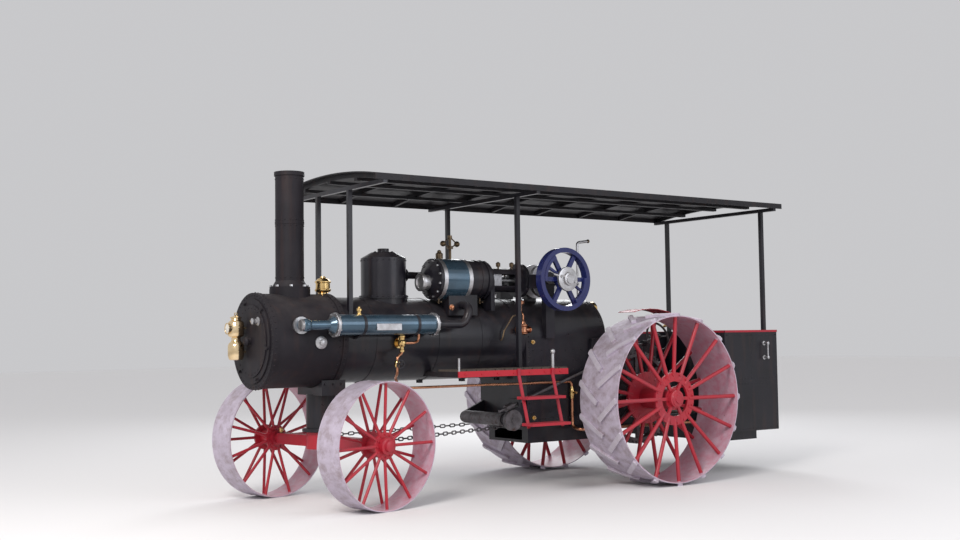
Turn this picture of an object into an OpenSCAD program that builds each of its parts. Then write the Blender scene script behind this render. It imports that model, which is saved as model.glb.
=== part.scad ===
// Steam traction engine of the American farm pattern: a locomotive boiler on four steel wheels,
// a centre-crank engine on top of it, a long canopy, and a tank and bunker behind the platform.
// X points forward, Y to the left, Z up. Z = 0 is the ground. Lengths are in millimetres.
// Places along X are counted from the rear axle, and from_axle() moves them into the frame.

/* [Running gear] */
// Distance from the rear axle to the steering pin of the front axle
wheelbase = 3600; // [3560:10:3700]
// Gap between a bull gear and its wheel's rim
wheel_gap = 46; // [40:2:70]
// Rear wheel diameter over its strakes
rear_d = 1856; // [1840:4:1872]
// Rear wheel width
rear_w = 594; // [540:6:600]
// Height of the strakes on the rear wheels
strake_h = 28; // [12:1:30]
// Width of one strake
strake_w = 56; // [30:2:70]
// Number of strakes from each edge of a rear wheel
strake_count = 16; // [12:1:20]
// Plate thickness of the wheel rims
rim_t = 12; // [10:1:16]
// Number of spokes in each of the two rows of a rear wheel
rear_spokes = 16; // [12:2:18]
// Radius of a rear spoke
rear_spoke_r = 21; // [13:1:23]
// Front wheel diameter
front_d = 1220; // [1180:10:1240]
// Front wheel width
front_w = 310; // [260:10:320]
// Width over the front wheels, square to the front axle
front_track = 2000; // [1980:10:2040]
// Number of spokes in each of the two rows of a front wheel
front_spokes = 12; // [10:2:14]
// Radius of a front spoke
front_spoke_r = 15; // [10:1:17]
// Radius of the rear axle
axle_r = 55; // [50:1:60]
// Radius of the front axle's journals
journal_r = 34; // [30:1:38]
// Angle at which the front axle stands, turned to the left
steer_rest = 11; // [0:1:14]

/* [Boiler] */
// Height of the boiler's centre line
boiler_z = 1610; // [1600:5:1630]
// Radius of the boiler barrel over its lagging
barrel_r = 430; // [415:5:435]
// Radius of the smokebox
smokebox_r = 460; // [450:5:465]
// Length of the smokebox
smokebox_len = 800; // [760:10:840]
// How far the smokebox runs ahead of the front axle
smokebox_ahead = 740; // [720:10:780]
// Plate thickness of smokebox and chimney
plate_t = 12; // [8:1:16]
// Length of the firebox
firebox_len = 1130; // [1100:10:1150]
// Height of the firebox bottom
firebox_bottom = 640; // [620:10:680]
// Outer radius of the chimney
chimney_r = 140; // [120:5:150]
// Height of the chimney's top
chimney_top = 3275; // [3255:5:3320]
// Place of the chimney ahead of the front axle
chimney_ahead = 340; // [320:10:360]
// Radius of the steam dome
dome_r = 235; // [200:5:250]
// Height of the steam dome over the barrel
dome_h = 470; // [400:10:500]
// Place of the steam dome ahead of the rear axle
dome_x = 2870; // [2840:10:2900]
// Radius of the feed-water heater's tube
heater_r = 100; // [85:5:102]
// Length of the feed-water heater's tube
heater_len = 1050; // [900:10:1060]

/* [Engine] */
// Height of the crankshaft
crank_z = 2230; // [2220:5:2240]
// Place of the crankshaft ahead of the rear axle
crank_x = 1050; // [1040:5:1060]
// Piston stroke
stroke = 250; // [220:10:260]
// Distance of the cylinder's centre line to the left of the boiler's
engine_y = 280; // [275:1:285]
// Radius of the cylinder over its lagging
cylinder_r = 205; // [190:5:210]
// Radius of the flywheel
flywheel_r = 340; // [320:5:360]
// Width of the flywheel's rim
flywheel_w = 90; // [80:5:140]
// Thickness of the flywheel's rim
flywheel_rim_t = 50; // [40:2:60]
// Radius of the crankshaft
crank_r = 42; // [36:1:44]

/* [Gearing] */
// Tooth size (pitch diameter over teeth) of the bull gears
bull_module = 16; // [15.8:0.1:16]
// Teeth of a bull gear
bull_teeth = 63; // [62:1:64]
// Teeth of a bull pinion
bull_pinion_teeth = 14; // [13:1:15]
// Tooth size (pitch diameter over teeth) of the engine's gears
train_module = 12; // [11.8:0.1:12]
// Teeth of the compensating gear
main_gear_teeth = 66; // [65:1:67]
// Teeth of the intermediate gear
idler_teeth = 58; // [57:1:59]
// Teeth of the crankshaft's pinion
crank_pinion_teeth = 20; // [19:1:21]
// Face width of the bull gears and their pinions
bull_face = 86; // [70:2:100]
// Face width of the engine's gears
train_face = 76; // [60:2:90]
// Length of a bull pinion's hub
pinion_hub_len = 85; // [70:1:110]

/* [Platform, tank and canopy] */
// Height of the platform floor's top
floor_z = 700; // [680:5:720]
// Place of the tank's rear wall behind the rear axle
tank_back = 2130; // [2100:10:2160]
// Length of the tank
tank_len = 900; // [860:10:920]
// Half width of the tank
tank_hw = 880; // [860:5:900]
// Height of the tank's closed lower part
tank_top = 1060; // [1000:10:1100]
// Height of the bunker's rim
bunker_top = 1660; // [1600:10:1700]
// Thickness of the bunker's plates
sheet_t = 8; // [6:1:10]
// Height of the running boards' top
board_z = 1285; // [1270:5:1300]
// Length of the running boards
board_len = 1390; // [1340:10:1400]
// Height of the canopy's edge
canopy_z = 3180; // [3160:5:3200]
// Half width of the canopy
canopy_hw = 1040; // [1000:10:1080]
// Rise of the canopy's middle over its edges
canopy_rise = 90; // [70:5:100]
// How far the canopy runs over the smokebox
canopy_over = 20; // [0:10:60]
// Place of the canopy's rear edge behind the rear axle
canopy_back = 2100; // [2060:10:2130]
// Width of a canopy post
post_w = 44; // [36:2:50]

/* [Hidden] */
$fn = 48;
// Gap between curved faces of pieces that are bolted together
seat_gap = 0.3;
// Radial clearance of a turning shaft
run_gap = 0.06;
// Gap beside a turning piece
side_gap = 5;

rear_r = rear_d / 2;
front_r = front_d / 2;
rear_rim_r = rear_r - strake_h;
barrel_top = boiler_z + barrel_r;
smokebox_front = wheelbase + smokebox_ahead;
smokebox_back = smokebox_front - smokebox_len;
chimney_x = wheelbase + chimney_ahead;
canopy_front = smokebox_back + canopy_over;
lamp_depth = 150;
door_plate_t = 14;
door_face_x = smokebox_front + seat_gap + door_plate_t + 10;
lamp_x = door_face_x + 24;
lamp_y = -180;
lamp_z = boiler_z + 45;
lamp_front = lamp_x + lamp_depth;
door_knuckle_r = 14;
door_hinge_x = smokebox_front + door_knuckle_r + 1;
door_hinge_y = -smokebox_r + 18;
hinge_z = 90;
fire_door_z = 1250;
fire_hinge_y = 196;
tank_bottom = 470;
// Filler of the tank: radius of its lid, and its place from the tank's rear wall and the middle
lid_r = 130;
lid_in = 260;
lid_y = tank_hw - 230;
lid_pin_r = 10;
// The frame's origin is under the middle of the whole engine
drawbar_back = tank_back + 60;
rear_x = (drawbar_back - lamp_front) / 2;
firebox_back = 220;
firebox_front = firebox_back + firebox_len;
// The firebox's flat sides run on from the barrel's
firebox_hw = barrel_r;
boiler_wall = 70;
ash_pan_h = 170;
pan_t = 10;
valve_x = smokebox_back + 35;
valve_r = 82;
valve_h = 205;

// Gear train, with every place in the plane of the gears (X forward, Z up)
bull_pitch_r = bull_module * bull_teeth / 2;
bull_pinion_r = bull_module * bull_pinion_teeth / 2;
counter_x = 100;
counter_z = rear_r + sqrt(pow(bull_pitch_r + bull_pinion_r, 2) - pow(counter_x, 2));
main_gear_r = train_module * main_gear_teeth / 2;
idler_r = train_module * idler_teeth / 2;
crank_pinion_r = train_module * crank_pinion_teeth / 2;
train_dist = norm([crank_x - counter_x, crank_z - counter_z]);
train_angle = atan2(crank_z - counter_z, crank_x - counter_x);
main_to_idler = main_gear_r + idler_r;
idler_to_crank = idler_r + crank_pinion_r;
idler_corner = acos((pow(main_to_idler, 2) + pow(train_dist, 2) - pow(idler_to_crank, 2))
    / (2 * main_to_idler * train_dist));
idler_angle = train_angle - idler_corner;
idler_x = counter_x + main_to_idler * cos(idler_angle);
idler_z = counter_z + main_to_idler * sin(idler_angle);
crank_angle = atan2(crank_z - idler_z, crank_x - idler_x);
bull_angle = atan2(counter_z - rear_r, counter_x);
// Turn of gear b that puts its gap before a tooth of gear a, for gears a and b in mesh along phi
function mesh_turn(turn_a, teeth_a, phi, teeth_b) =
    phi + 180 - 360 / teeth_b * (0.5 - (phi - turn_a) * teeth_a / 360);
bull_turn = 0;
bull_pinion_turn = mesh_turn(bull_turn, bull_teeth, bull_angle, bull_pinion_teeth);
main_gear_turn = 0;
idler_turn = mesh_turn(main_gear_turn, main_gear_teeth, idler_angle, idler_teeth);
crank_pinion_turn = mesh_turn(idler_turn, idler_teeth, crank_angle, crank_pinion_teeth);

// Places across the engine
bracket_y0 = firebox_hw + seat_gap;
bracket_y1 = bracket_y0 + 40;
train_y0 = bracket_y1 + 14;
train_y1 = train_y0 + train_face;
bull_y0 = train_y1 + pinion_hub_len;
bull_y1 = bull_y0 + bull_face;
wheel_inner_y = bull_y1 + wheel_gap;
wheel_face_y = wheel_inner_y + rear_w;
// Rear wheel's hub: its flanges, the opening in the outer one, its arms, and its walls round the axle
hub_flange_r = 285;
hub_ring_ri = 189;
hub_arm_t = 34;
hub_wall = 66;
boss_wall = 34;
flywheel_y = 715;
flywheel_hub_r = 105;
flywheel_arm_t = 32;
web_y0 = 60;
web_y1 = 110;
cheek_y0 = 126;
cheek_y1 = 200;
crank_throw = stroke / 2;
rod_len = 2 * stroke;
pin_x = crank_x + crank_throw;
crosshead_x = pin_x + rod_len;
guide_back = crosshead_x - stroke - 90;
cylinder_back = crosshead_x + 150;
cylinder_len = stroke + 390;
cylinder_front = cylinder_back + cylinder_len;
guide_ro = 128;
guide_ri = 98;
piston_rod_r = 22;
small_pin_r = 22;
big_eye_r = 78;
small_eye_r = 40;
rod_r = 24;
// Gap between the crank pin and the discs that turn beside it
pin_gap = 2;
chest_y0 = engine_y - cylinder_r - 150;
chest_top = crank_z + 150;

// Front axle and steering
front_z = front_r;
steer_pin_r = 38;
pedestal_len = 260;
pedestal_hw = 260;
pedestal_r = 150;
drum_x = 1600;
drum_z = 740;
drum_r = 70;
drum_shaft_r = 30;
drum_bracket_y = 372;
worm_wheel_r = 110;
// Places of the chains across the engine, at the axle and at the drum
chain_y = 560;
drum_chain_y = 300;
chain_wire = 7;
chain_pitch = 62;
eye_x = -70;
eye_r = 26;
eye_wire = 9;
hand_wheel_r = 165;
hand_wheel_x = -520;
hand_wheel_z = 1600;
steer_shaft_y = 500;
steer_shaft_r = 15;
worm_r = 34;
worm_gap = worm_wheel_r + worm_r + side_gap;
steer_tilt = atan2(hand_wheel_z - drum_z, drum_x - hand_wheel_x)
    - asin(worm_gap / norm([drum_x - hand_wheel_x, hand_wheel_z - drum_z]));
worm_x = drum_x + worm_gap * sin(steer_tilt);
worm_z = drum_z + worm_gap * cos(steer_tilt);
heater_y = 560;
heater_z = 1755;
// Length of the heater's tube beside the smokebox
heater_lap = 120;
heater_back = smokebox_back + heater_lap - heater_len;
board_back = 1190;
board_y0 = 560;
board_y1 = 940;
board_t = 60;
// Ladder: its place along the board, its width, its rails and how far their feet lean out
ladder_x0 = board_back + 200;
ladder_w = 470;
rail_w = 32;
rail_t = 14;
ladder_lean = 150;
// Steps: their heights, thickness, reach past the rails' ends and to both sides of the rails
step_z = [735, 1000];
step_t = 28;
step_over = 12;
step_in = 60;
step_out = 120;
fender_r = rear_r + 50;
fender_t = 5;
// Sides of a fender, which covers the wheel's inner part
fender_y0 = 690;
fender_y1 = 960;
stay_r = 12;
// Canopy: its sheet, its bows with their pitch, the laths along it, and its posts' drop below the eaves
roof_t = 12;
bow_count = 9;
bow_w = 35;
bow_h = 45;
bow_end = 60;
bow_pitch = (canopy_back + canopy_front - 2 * bow_end - bow_w) / (bow_count - 1);
lath_y = 550;
lath_w = 60;
lath_h = 30;
post_drop = 50;
platform_hw = 560;

module from_axle() {
    translate([rear_x, 0, 0])
        children();
}

// Straight round bars along each axis, from a low to a high place
module bar_x(r, x0, x1) {
    translate([x0, 0, 0])
        rotate([0, 90, 0])
            cylinder(r = r, h = x1 - x0);
}
module bar_y(r, y0, y1) {
    translate([0, y1, 0])
        rotate([90, 0, 0])
            cylinder(r = r, h = y1 - y0);
}
module bar_z(r, z0, z1) {
    translate([0, 0, z0])
        cylinder(r = r, h = z1 - z0);
}
// Round bar from point p to point q
module bar(p, q, r) {
    d = q - p;
    translate(p)
        rotate([0, acos(d[2] / norm(d)), atan2(d[1], d[0])])
            cylinder(r = r, h = norm(d));
}
// Outline drawn in X and Z, as thick as y0 to y1
module side_plate(y0, y1) {
    translate([0, y1, 0])
        rotate([90, 0, 0])
            linear_extrude(y1 - y0)
                children();
}
// Outline drawn in Y and Z, as thick as x0 to x1
module cross_plate(x0, x1) {
    translate([x0, 0, 0])
        rotate([90, 0, 90])
            linear_extrude(x1 - x0)
                children();
}
// Block from its low corner to its high corner
module block(low, high) {
    translate(low)
        cube(high - low);
}
module both_sides() {
    children();
    mirror([0, 1, 0])
        children();
}
// Room for the round boiler in the pieces that sit on it
module barrel_room() {
    translate([0, 0, boiler_z])
        bar_x(barrel_r + seat_gap, firebox_back - 1, smokebox_back + 1);
}
module ring_y(ro, ri, y0, y1) {
    difference() {
        bar_y(ro, y0, y1);
        bar_y(ri, y0 - 1, y1 + 1);
    }
}
module ring_x(ro, ri, x0, x1) {
    difference() {
        bar_x(ro, x0, x1);
        bar_x(ri, x0 - 1, x1 + 1);
    }
}

// Gear outline with straight-sided teeth, one tooth centred on the angle turn
module gear_outline(m, teeth, turn) {
    tip = m * (teeth / 2 + 0.8);
    root = m * (teeth / 2 - 1.05);
    step = 360 / teeth;
    // Half widths of a tooth at its root and tip, as shares of the pitch
    flanks = [[-0.27, root], [-0.12, tip], [0.12, tip], [0.27, root]];
    polygon([
        for (i = [0 : teeth - 1])
            for (f = flanks)
                let (a = turn + step * (i + f[0]))
                    f[1] * [cos(a), sin(a)]
    ]);
}
// Toothed wheel with arms between its rim and its hub
module spoked_gear(m, teeth, turn, hub_r, bore_r, arms, y0, y1) {
    rim_in = m * (teeth / 2 - 1.05) - 2.2 * m;
    web = (y1 - y0) * 0.3;
    mid = (y0 + y1) / 2;
    difference() {
        union() {
            side_plate(y0, y1)
                difference() {
                    gear_outline(m, teeth, turn);
                    circle(r = rim_in, $fn = 96);
                }
            bar_y(hub_r, y0, y1);
            for (i = [0 : arms - 1])
                rotate([0, 360 / arms * i, 0])
                    block([0, mid - web / 2, -1.4 * m], [rim_in + m, mid + web / 2, 1.4 * m]);
        }
        bar_y(bore_r, y0 - 1, y1 + 1);
    }
}

// Two rows of spokes from the hub's flanges to the rim's edges
module spoke_rows(count, r, hub_r, rim_r, rows) {
    for (row = rows)
        for (i = [0 : count - 1])
            rotate([0, 360 / count * (i + row[2]) + 90, 0])
                bar([hub_r, row[0], 0], [rim_r, row[1], 0], r);
}

// One strake from the rim's middle line to its edge, leaning back by its run
module strake(y0, y1, run) {
    len = norm([y1 - y0, run]);
    lean = atan2(run, y1 - y0);
    sink = 10;
    translate([0, (y0 + y1) / 2, rear_rim_r])
        rotate([0, 0, lean])
            translate([-strake_w / 2, -len / 2, -sink])
                cube([strake_w, len, strake_h + sink]);
}

// Left rear wheel about its own axle, its outer face at wheel_face_y
module rear_wheel() {
    mid = (wheel_face_y + wheel_inner_y) / 2;
    flange_out = wheel_face_y - 90;
    flange_in = wheel_inner_y + 70;
    run = (rear_w / 2 - 16) * 0.8;
    // Row table: place at the hub, place at the rim, share of a step that the row is turned
    rows = [[flange_out, wheel_face_y - 45, 0], [flange_in, wheel_inner_y + 45, 0.5]];
    difference() {
        union() {
            ring_y(rear_rim_r, rear_rim_r - rim_t, wheel_inner_y, wheel_face_y);
            intersection() {
                for (side = [-1, 1])
                    for (i = [0 : strake_count - 1])
                        rotate([0, 360 / strake_count * (i + side * 0.25), 0])
                            if (side > 0)
                                strake(mid + 4, wheel_face_y, run);
                            else
                                strake(wheel_inner_y, mid - 4, -run);
                bar_y(rear_r, wheel_inner_y, wheel_face_y);
            }
            bar_y(axle_r + hub_wall, wheel_inner_y + 30, flange_out);
            bar_y(axle_r + boss_wall, flange_out, wheel_face_y - 40);
            ring_y(hub_flange_r, hub_ring_ri, flange_out - 14, flange_out + 14);
            ring_y(hub_flange_r, axle_r + hub_wall - 6, flange_in - 14, flange_in + 14);
            for (i = [0 : 5])
                rotate([0, 60 * i, 0])
                    block([axle_r + boss_wall - 10, flange_out - 12, -hub_arm_t / 2],
                        [hub_ring_ri + 10, flange_out + 12, hub_arm_t / 2]);
            spoke_rows(rear_spokes, rear_spoke_r, hub_flange_r - 70, rear_rim_r - rim_t / 2, rows);
        }
        bar_y(axle_r + run_gap, wheel_inner_y - 1, wheel_face_y - 56);
    }
}

// Left front wheel about its own axle, its outer face at half the front track
module front_wheel() {
    face = front_track / 2;
    inner = face - front_w;
    rows = [[face - 60, face - 34, 0], [inner + 60, inner + 34, 0.5]];
    difference() {
        union() {
            ring_y(front_r, front_r - rim_t, inner, face);
            bar_y(journal_r + 46, inner + 20, face - 10);
            for (row = rows)
                bar_y(130, row[0] - 12, row[0] + 12);
            spoke_rows(front_spokes, front_spoke_r, 100, front_r - rim_t / 2, rows);
        }
        bar_y(journal_r + run_gap, inner - 1, face - 30);
    }
}

// The front axle's own axes: X ahead, Y along the axle, turned about the steering pin
module on_front_axle() {
    translate([rear_x + wheelbase, 0, 0])
        rotate([0, 0, steer_rest])
            children();
}

module boiler_barrel() {
    color("#1c1a20")
        from_axle()
            translate([0, 0, boiler_z])
                bar_x(barrel_r, firebox_front, smokebox_back);
}

// Drum with an open front ring for the door, and holes for the chimney and the exhaust
module smokebox() {
    color("#1c1a20")
        from_axle()
            difference() {
                union() {
                    translate([0, 0, boiler_z]) {
                        bar_x(smokebox_r, smokebox_back, smokebox_front);
                        bar_x(smokebox_r + 8, smokebox_front - 60, smokebox_front);
                        bar_x(smokebox_r + 8, smokebox_back, smokebox_back + 60);
                    }
                    translate([chimney_x, 0, boiler_z])
                        bar_z(chimney_r + 60, smokebox_r * 0.9, smokebox_r + 45);
                    for (side = [-1, 1])
                        translate([door_hinge_x, door_hinge_y, boiler_z + side * (hinge_z + 34)]) {
                            bar_z(14, -12, 12);
                            block([smokebox_front - door_hinge_x - 4, -14, -12], [0, 14, 12]);
                        }
                }
                translate([0, 0, boiler_z]) {
                    bar_x(smokebox_r - plate_t, smokebox_back + plate_t, smokebox_front - 30);
                    bar_x(smokebox_r - 70, smokebox_front - 40, smokebox_front + 1);
                }
                translate([chimney_x, 0, 0])
                    bar_z(chimney_r - plate_t, boiler_z, boiler_z + smokebox_r + 60);
            }
}

// Dished door on the smokebox, hinged at its right-hand side
module smokebox_door() {
    door_r = smokebox_r - 50;
    color("#26242a")
        from_axle()
            translate([smokebox_front + seat_gap, 0, boiler_z]) {
                bar_x(door_r, 0, door_plate_t);
                bar_x(door_r - 60, 0, door_plate_t + 10);
                for (z = [-hinge_z, hinge_z]) {
                    block([1, door_hinge_y, z - 20],
                        [2 * door_knuckle_r, lamp_y - lamp_depth / 2, z + 20]);
                    translate([door_hinge_x - smokebox_front - seat_gap, door_hinge_y, z])
                        bar_z(door_knuckle_r, -20, 20);
                }
                bar_x(32, 0, door_plate_t + 50);
                for (a = [20 : 60 : 359])
                    rotate([a, 0, 0])
                        translate([0, 0, door_r - 25])
                            bar_x(14, 0, door_plate_t + 22);
            }
}

module chimney() {
    foot_z = boiler_z + smokebox_r + 45;
    color("#141318")
        from_axle()
            translate([chimney_x, 0, 0])
                difference() {
                    union() {
                        bar_z(chimney_r, foot_z, chimney_top);
                        bar_z(chimney_r + 58, foot_z, foot_z + 24);
                        translate([0, 0, foot_z + 24])
                            cylinder(r1 = chimney_r + 34, r2 = chimney_r, h = 60);
                        bar_z(chimney_r + 10, chimney_top - 40, chimney_top);
                    }
                    bar_z(chimney_r - plate_t, foot_z - 1, chimney_top + 1);
                }
}

module steam_dome() {
    top = barrel_top + dome_h;
    color("#1c1a20")
        from_axle()
            difference() {
                translate([dome_x, 0, 0]) {
                    bar_z(dome_r, boiler_z + barrel_r * 0.6, top - 60);
                    bar_z(dome_r + 16, barrel_top - 10, barrel_top + 24);
                    translate([0, 0, top - 60])
                        cylinder(r1 = dome_r, r2 = dome_r * 0.55, h = 60);
                    bar_z(60, top, top + 40);
                }
                barrel_room();
            }
}

// Round-topped firebox, hollow behind its fire hole
module firebox() {
    color("#1c1a20")
        from_axle()
            difference() {
                union() {
                    cross_plate(firebox_back, firebox_front) {
                        translate([0, boiler_z])
                            circle(r = barrel_r);
                        translate([-firebox_hw, firebox_bottom])
                            square([2 * firebox_hw, boiler_z - firebox_bottom]);
                    }
                    // Eye of the fire door's hinge
                    block([firebox_back - 30, fire_hinge_y - 14, fire_door_z - 58],
                        [firebox_back, fire_hinge_y + 14, fire_door_z + 58]);
                }
                translate([firebox_back - 16 - seat_gap, fire_hinge_y, fire_door_z])
                    bar_z(7 + run_gap, -100, 100);
                block([firebox_back + boiler_wall, -firebox_hw + boiler_wall, firebox_bottom - 1],
                    [firebox_front - boiler_wall, firebox_hw - boiler_wall, boiler_z]);
                translate([0, 0, fire_door_z])
                    bar_x(140, firebox_back - 1, firebox_back + boiler_wall + 1);
            }
}

module fire_door() {
    color("#2b2730")
        from_axle()
            translate([firebox_back - 16 - seat_gap, 0, fire_door_z]) {
                bar_x(165, 0, 16);
                for (z = [-80, 80])
                    block([-8, -60, z - 16], [8, fire_hinge_y + 8, z + 16]);
                translate([0, fire_hinge_y, 0])
                    bar_z(7, -96, 96);
                translate([0, -120, 0])
                    bar_x(12, -70, 0);
            }
}

// Open box under the grate, with a draught hole in its front wall
module ash_pan() {
    hw = firebox_hw - boiler_wall;
    x0 = firebox_back + 40;
    x1 = firebox_front - 60;
    z0 = firebox_bottom - ash_pan_h;
    color("#1a181c")
        from_axle()
            difference() {
                block([x0, -hw, z0], [x1, hw, firebox_bottom]);
                block([x0 + pan_t, -hw + pan_t, z0 + pan_t], [x1 - pan_t, hw - pan_t, firebox_bottom + 1]);
                block([x1 - 2 * pan_t, -hw * 0.7, z0 + 3 * pan_t],
                    [x1 + 1, hw * 0.7, firebox_bottom - 3 * pan_t]);
            }
}

module safety_valve() {
    color("#c9a15a")
        from_axle()
            translate([valve_x, 0, 0])
                difference() {
                    union() {
                        bar_z(valve_r * 0.67, barrel_top - 20, barrel_top + 40);
                        bar_z(valve_r, barrel_top + 40, barrel_top + valve_h - 35);
                        bar_z(valve_r * 0.61, barrel_top + valve_h - 35, barrel_top + valve_h);
                    }
                    translate([-valve_x, 0, boiler_z])
                        bar_x(smokebox_r + 8 + seat_gap, valve_x - valve_r - 20, smokebox_front);
                }
}

module feed_heater() {
    x1 = heater_back + heater_len;
    color("#2c4f66")
        from_axle()
            translate([0, heater_y, heater_z]) {
                bar_x(heater_r, heater_back, x1);
                bar_x(heater_r + 18, heater_back, heater_back + 30);
                bar_x(heater_r + 18, x1 - 30, x1);
                bar_x(45, x1, x1 + 330);
                bar_x(62, x1 + 306, x1 + 330);
                difference() {
                    translate([x1 + 285, 0, 0])
                        bar_y(40, -160, 0);
                    translate([0, -heater_y, boiler_z - heater_z])
                        bar_x(smokebox_r + seat_gap, x1 + 200, x1 + 350);
                }
                for (x = [heater_back + 220, x1 - 220])
                    difference() {
                        block([x - 20, -190, -30], [x + 20, -heater_r + 20, 30]);
                        translate([0, -heater_y, -heater_z])
                            barrel_room();
                    }
            }
}

// Bored guide and cheeks from the cylinder to the two main bearings, with its feet on the boiler
module engine_bed() {
    color("#1b1b22")
        from_axle()
            difference() {
                union() {
                    translate([0, engine_y, crank_z]) {
                        bar_x(guide_ro, guide_back, cylinder_back);
                        bar_x(cylinder_r - 20, guide_back - 30, guide_back + 20);
                        bar_x(cylinder_r - 10, cylinder_back - 30, cylinder_back);
                        for (side = [-1, 1])
                            translate([0, side * (cheek_y0 + cheek_y1) / 2, 0]) {
                                block([crank_x, -(cheek_y1 - cheek_y0) / 2, -90],
                                    [guide_back, (cheek_y1 - cheek_y0) / 2, 60]);
                                translate([crank_x, 0, 0])
                                    bar_y(crank_r + 50, -(cheek_y1 - cheek_y0) / 2,
                                        (cheek_y1 - cheek_y0) / 2);
                            }
                    }
                    // Outer bearing and its cross saddle over the firebox
                    translate([crank_x, 0, crank_z])
                        bar_y(crank_r + 45, -390, -310);
                    block([crank_x - 90, -390, 1700], [crank_x + 90, -310, crank_z]);
                    block([crank_x - 60, engine_y + cheek_y0, 1600],
                        [crank_x + 60, engine_y + cheek_y1, crank_z]);
                    block([crank_x - 60, engine_y - cheek_y1, 1800],
                        [crank_x + 60, engine_y - cheek_y0, crank_z]);
                    block([cylinder_back - 60, 120, 1900], [cylinder_back - 10, 440, crank_z]);
                }
                // Bore for the crosshead, and the side openings that show it
                translate([0, engine_y, crank_z]) {
                    bar_x(guide_ri, guide_back - 200, cylinder_back + 1);
                    block([guide_back + 60, -300, -62], [cylinder_back - 60, 300, 62]);
                }
                translate([crank_x, 0, crank_z])
                    bar_y(crank_r + run_gap, -500, 700);
                barrel_room();
                block([firebox_back, -firebox_hw - seat_gap, firebox_bottom],
                    [firebox_front, firebox_hw + seat_gap, boiler_z]);
            }
}

module steam_cylinder() {
    color("#24445a")
        from_axle()
            difference() {
                union() {
                    translate([0, engine_y, crank_z]) {
                        bar_x(cylinder_r - 8, cylinder_back + 0.1, cylinder_front);
                        bar_x(cylinder_r, cylinder_back + 60, cylinder_front - 60);
                        bar_x(cylinder_r + 6, cylinder_back + 0.1, cylinder_back + 34);
                        bar_x(cylinder_r + 6, cylinder_front - 34, cylinder_front);
                        for (x = [cylinder_back + 90, cylinder_front - 120])
                            bar_x(cylinder_r + 5, x, x + 30);
                        translate([cylinder_front, 0, 0])
                            rotate([0, 90, 0])
                                cylinder(r1 = cylinder_r - 40, r2 = cylinder_r - 90, h = 40);
                    }
                    block([cylinder_back + 140, 60, 1850], [cylinder_front - 140, 400, crank_z - 80]);
                    // Gland for the piston rod, inside the bored guide
                    translate([0, engine_y, crank_z])
                        bar_x(50, cylinder_back - 26, cylinder_back + 60);
                    // Steam chest on the right-hand side
                    block([cylinder_back + 120, chest_y0, crank_z - 60],
                        [cylinder_front - 120, engine_y, chest_top]);
                }
                barrel_room();
                translate([0, engine_y, crank_z])
                    bar_x(piston_rod_r + seat_gap, cylinder_back - 30, cylinder_back + 61);
            }
}

module crosshead() {
    color("#9a9aa0")
        from_axle()
            translate([0, engine_y, crank_z]) {
                difference() {
                    bar_x(guide_ri - seat_gap, crosshead_x - 75, crosshead_x + 75);
                    block([crosshead_x - 80, -200, -200], [crosshead_x + 80, -62, 200]);
                    block([crosshead_x - 80, 62, -200], [crosshead_x + 80, 200, 200]);
                    block([crosshead_x - 80, -32, -70], [crosshead_x + 46, 32, 70]);
                    translate([crosshead_x, 0, 0])
                        bar_y(small_pin_r + seat_gap, -70, 70);
                }
                bar_x(piston_rod_r, crosshead_x + 75, cylinder_back + 50);
            }
}

// Rod with both its pins: the linkage is open between the crank pin and the turning discs
module connecting_rod() {
    color("#a5a5ab")
        from_axle()
            translate([0, engine_y, crank_z]) {
                translate([pin_x, 0, 0]) {
                    bar_y(big_eye_r, -web_y0 + 12, web_y0 - 12);
                    bar_y(crank_r, -web_y0 + pin_gap, web_y0 - pin_gap);
                }
                translate([crosshead_x, 0, 0]) {
                    bar_y(small_eye_r, -28, 28);
                    bar_y(small_pin_r, -60, 60);
                }
                bar([pin_x + big_eye_r / 2, 0, 0], [crosshead_x - small_pin_r, 0, 0], rod_r);
            }
}

// Shaft in two halves, each with its crank disc
module crankshaft() {
    color("#55555c")
        from_axle()
            translate([crank_x, engine_y, crank_z]) {
                bar_y(crank_r, -train_y1 - engine_y - 20, -web_y0);
                bar_y(crank_r, web_y0, flywheel_y + flywheel_w / 2 + 30 - engine_y);
                for (side = [-1, 1])
                    translate([0, side * (web_y0 + web_y1) / 2, 0])
                        bar_y(185, -(web_y1 - web_y0) / 2, (web_y1 - web_y0) / 2);
                translate([0, -engine_y, 0])
                    side_plate(-train_y1, -train_y0)
                        gear_outline(train_module, crank_pinion_teeth, crank_pinion_turn);
            }
}

module flywheel() {
    y0 = flywheel_y - flywheel_w / 2;
    y1 = flywheel_y + flywheel_w / 2;
    color("#2d4a66")
        from_axle()
            translate([crank_x, 0, crank_z])
                difference() {
                    union() {
                        ring_y(flywheel_r, flywheel_r - flywheel_rim_t, y0, y1);
                        bar_y(flywheel_hub_r, y0 + 10, y1 + 10);
                        for (i = [0 : 5])
                            rotate([0, 60 * i, 0])
                                block([flywheel_hub_r - 40, flywheel_y - flywheel_arm_t / 2, -24],
                                    [flywheel_r - flywheel_rim_t / 2, flywheel_y + flywheel_arm_t / 2, 24]);
                    }
                    bar_y(crank_r + seat_gap, y0 - 1, y1 + 20);
                }
}

module idler_gear() {
    color("#3a3638")
        from_axle()
            translate([idler_x, 0, idler_z])
                spoked_gear(train_module, idler_teeth, idler_turn, 90, 40 + run_gap, 6,
                    -train_y1, -train_y0);
}

module main_gear() {
    color("#3a3638")
        from_axle()
            translate([counter_x, 0, counter_z]) {
                spoked_gear(train_module, main_gear_teeth, main_gear_turn, 130, 38 + run_gap, 6,
                    -train_y1, -train_y0);
            }
}

// Dead shaft that carries the compensating gear and both bull pinions
module countershaft() {
    color("#55555c")
        from_axle()
            translate([counter_x, 0, counter_z])
                bar_y(38, -bull_y1 - 20, bull_y1 + 20);
}

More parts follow.
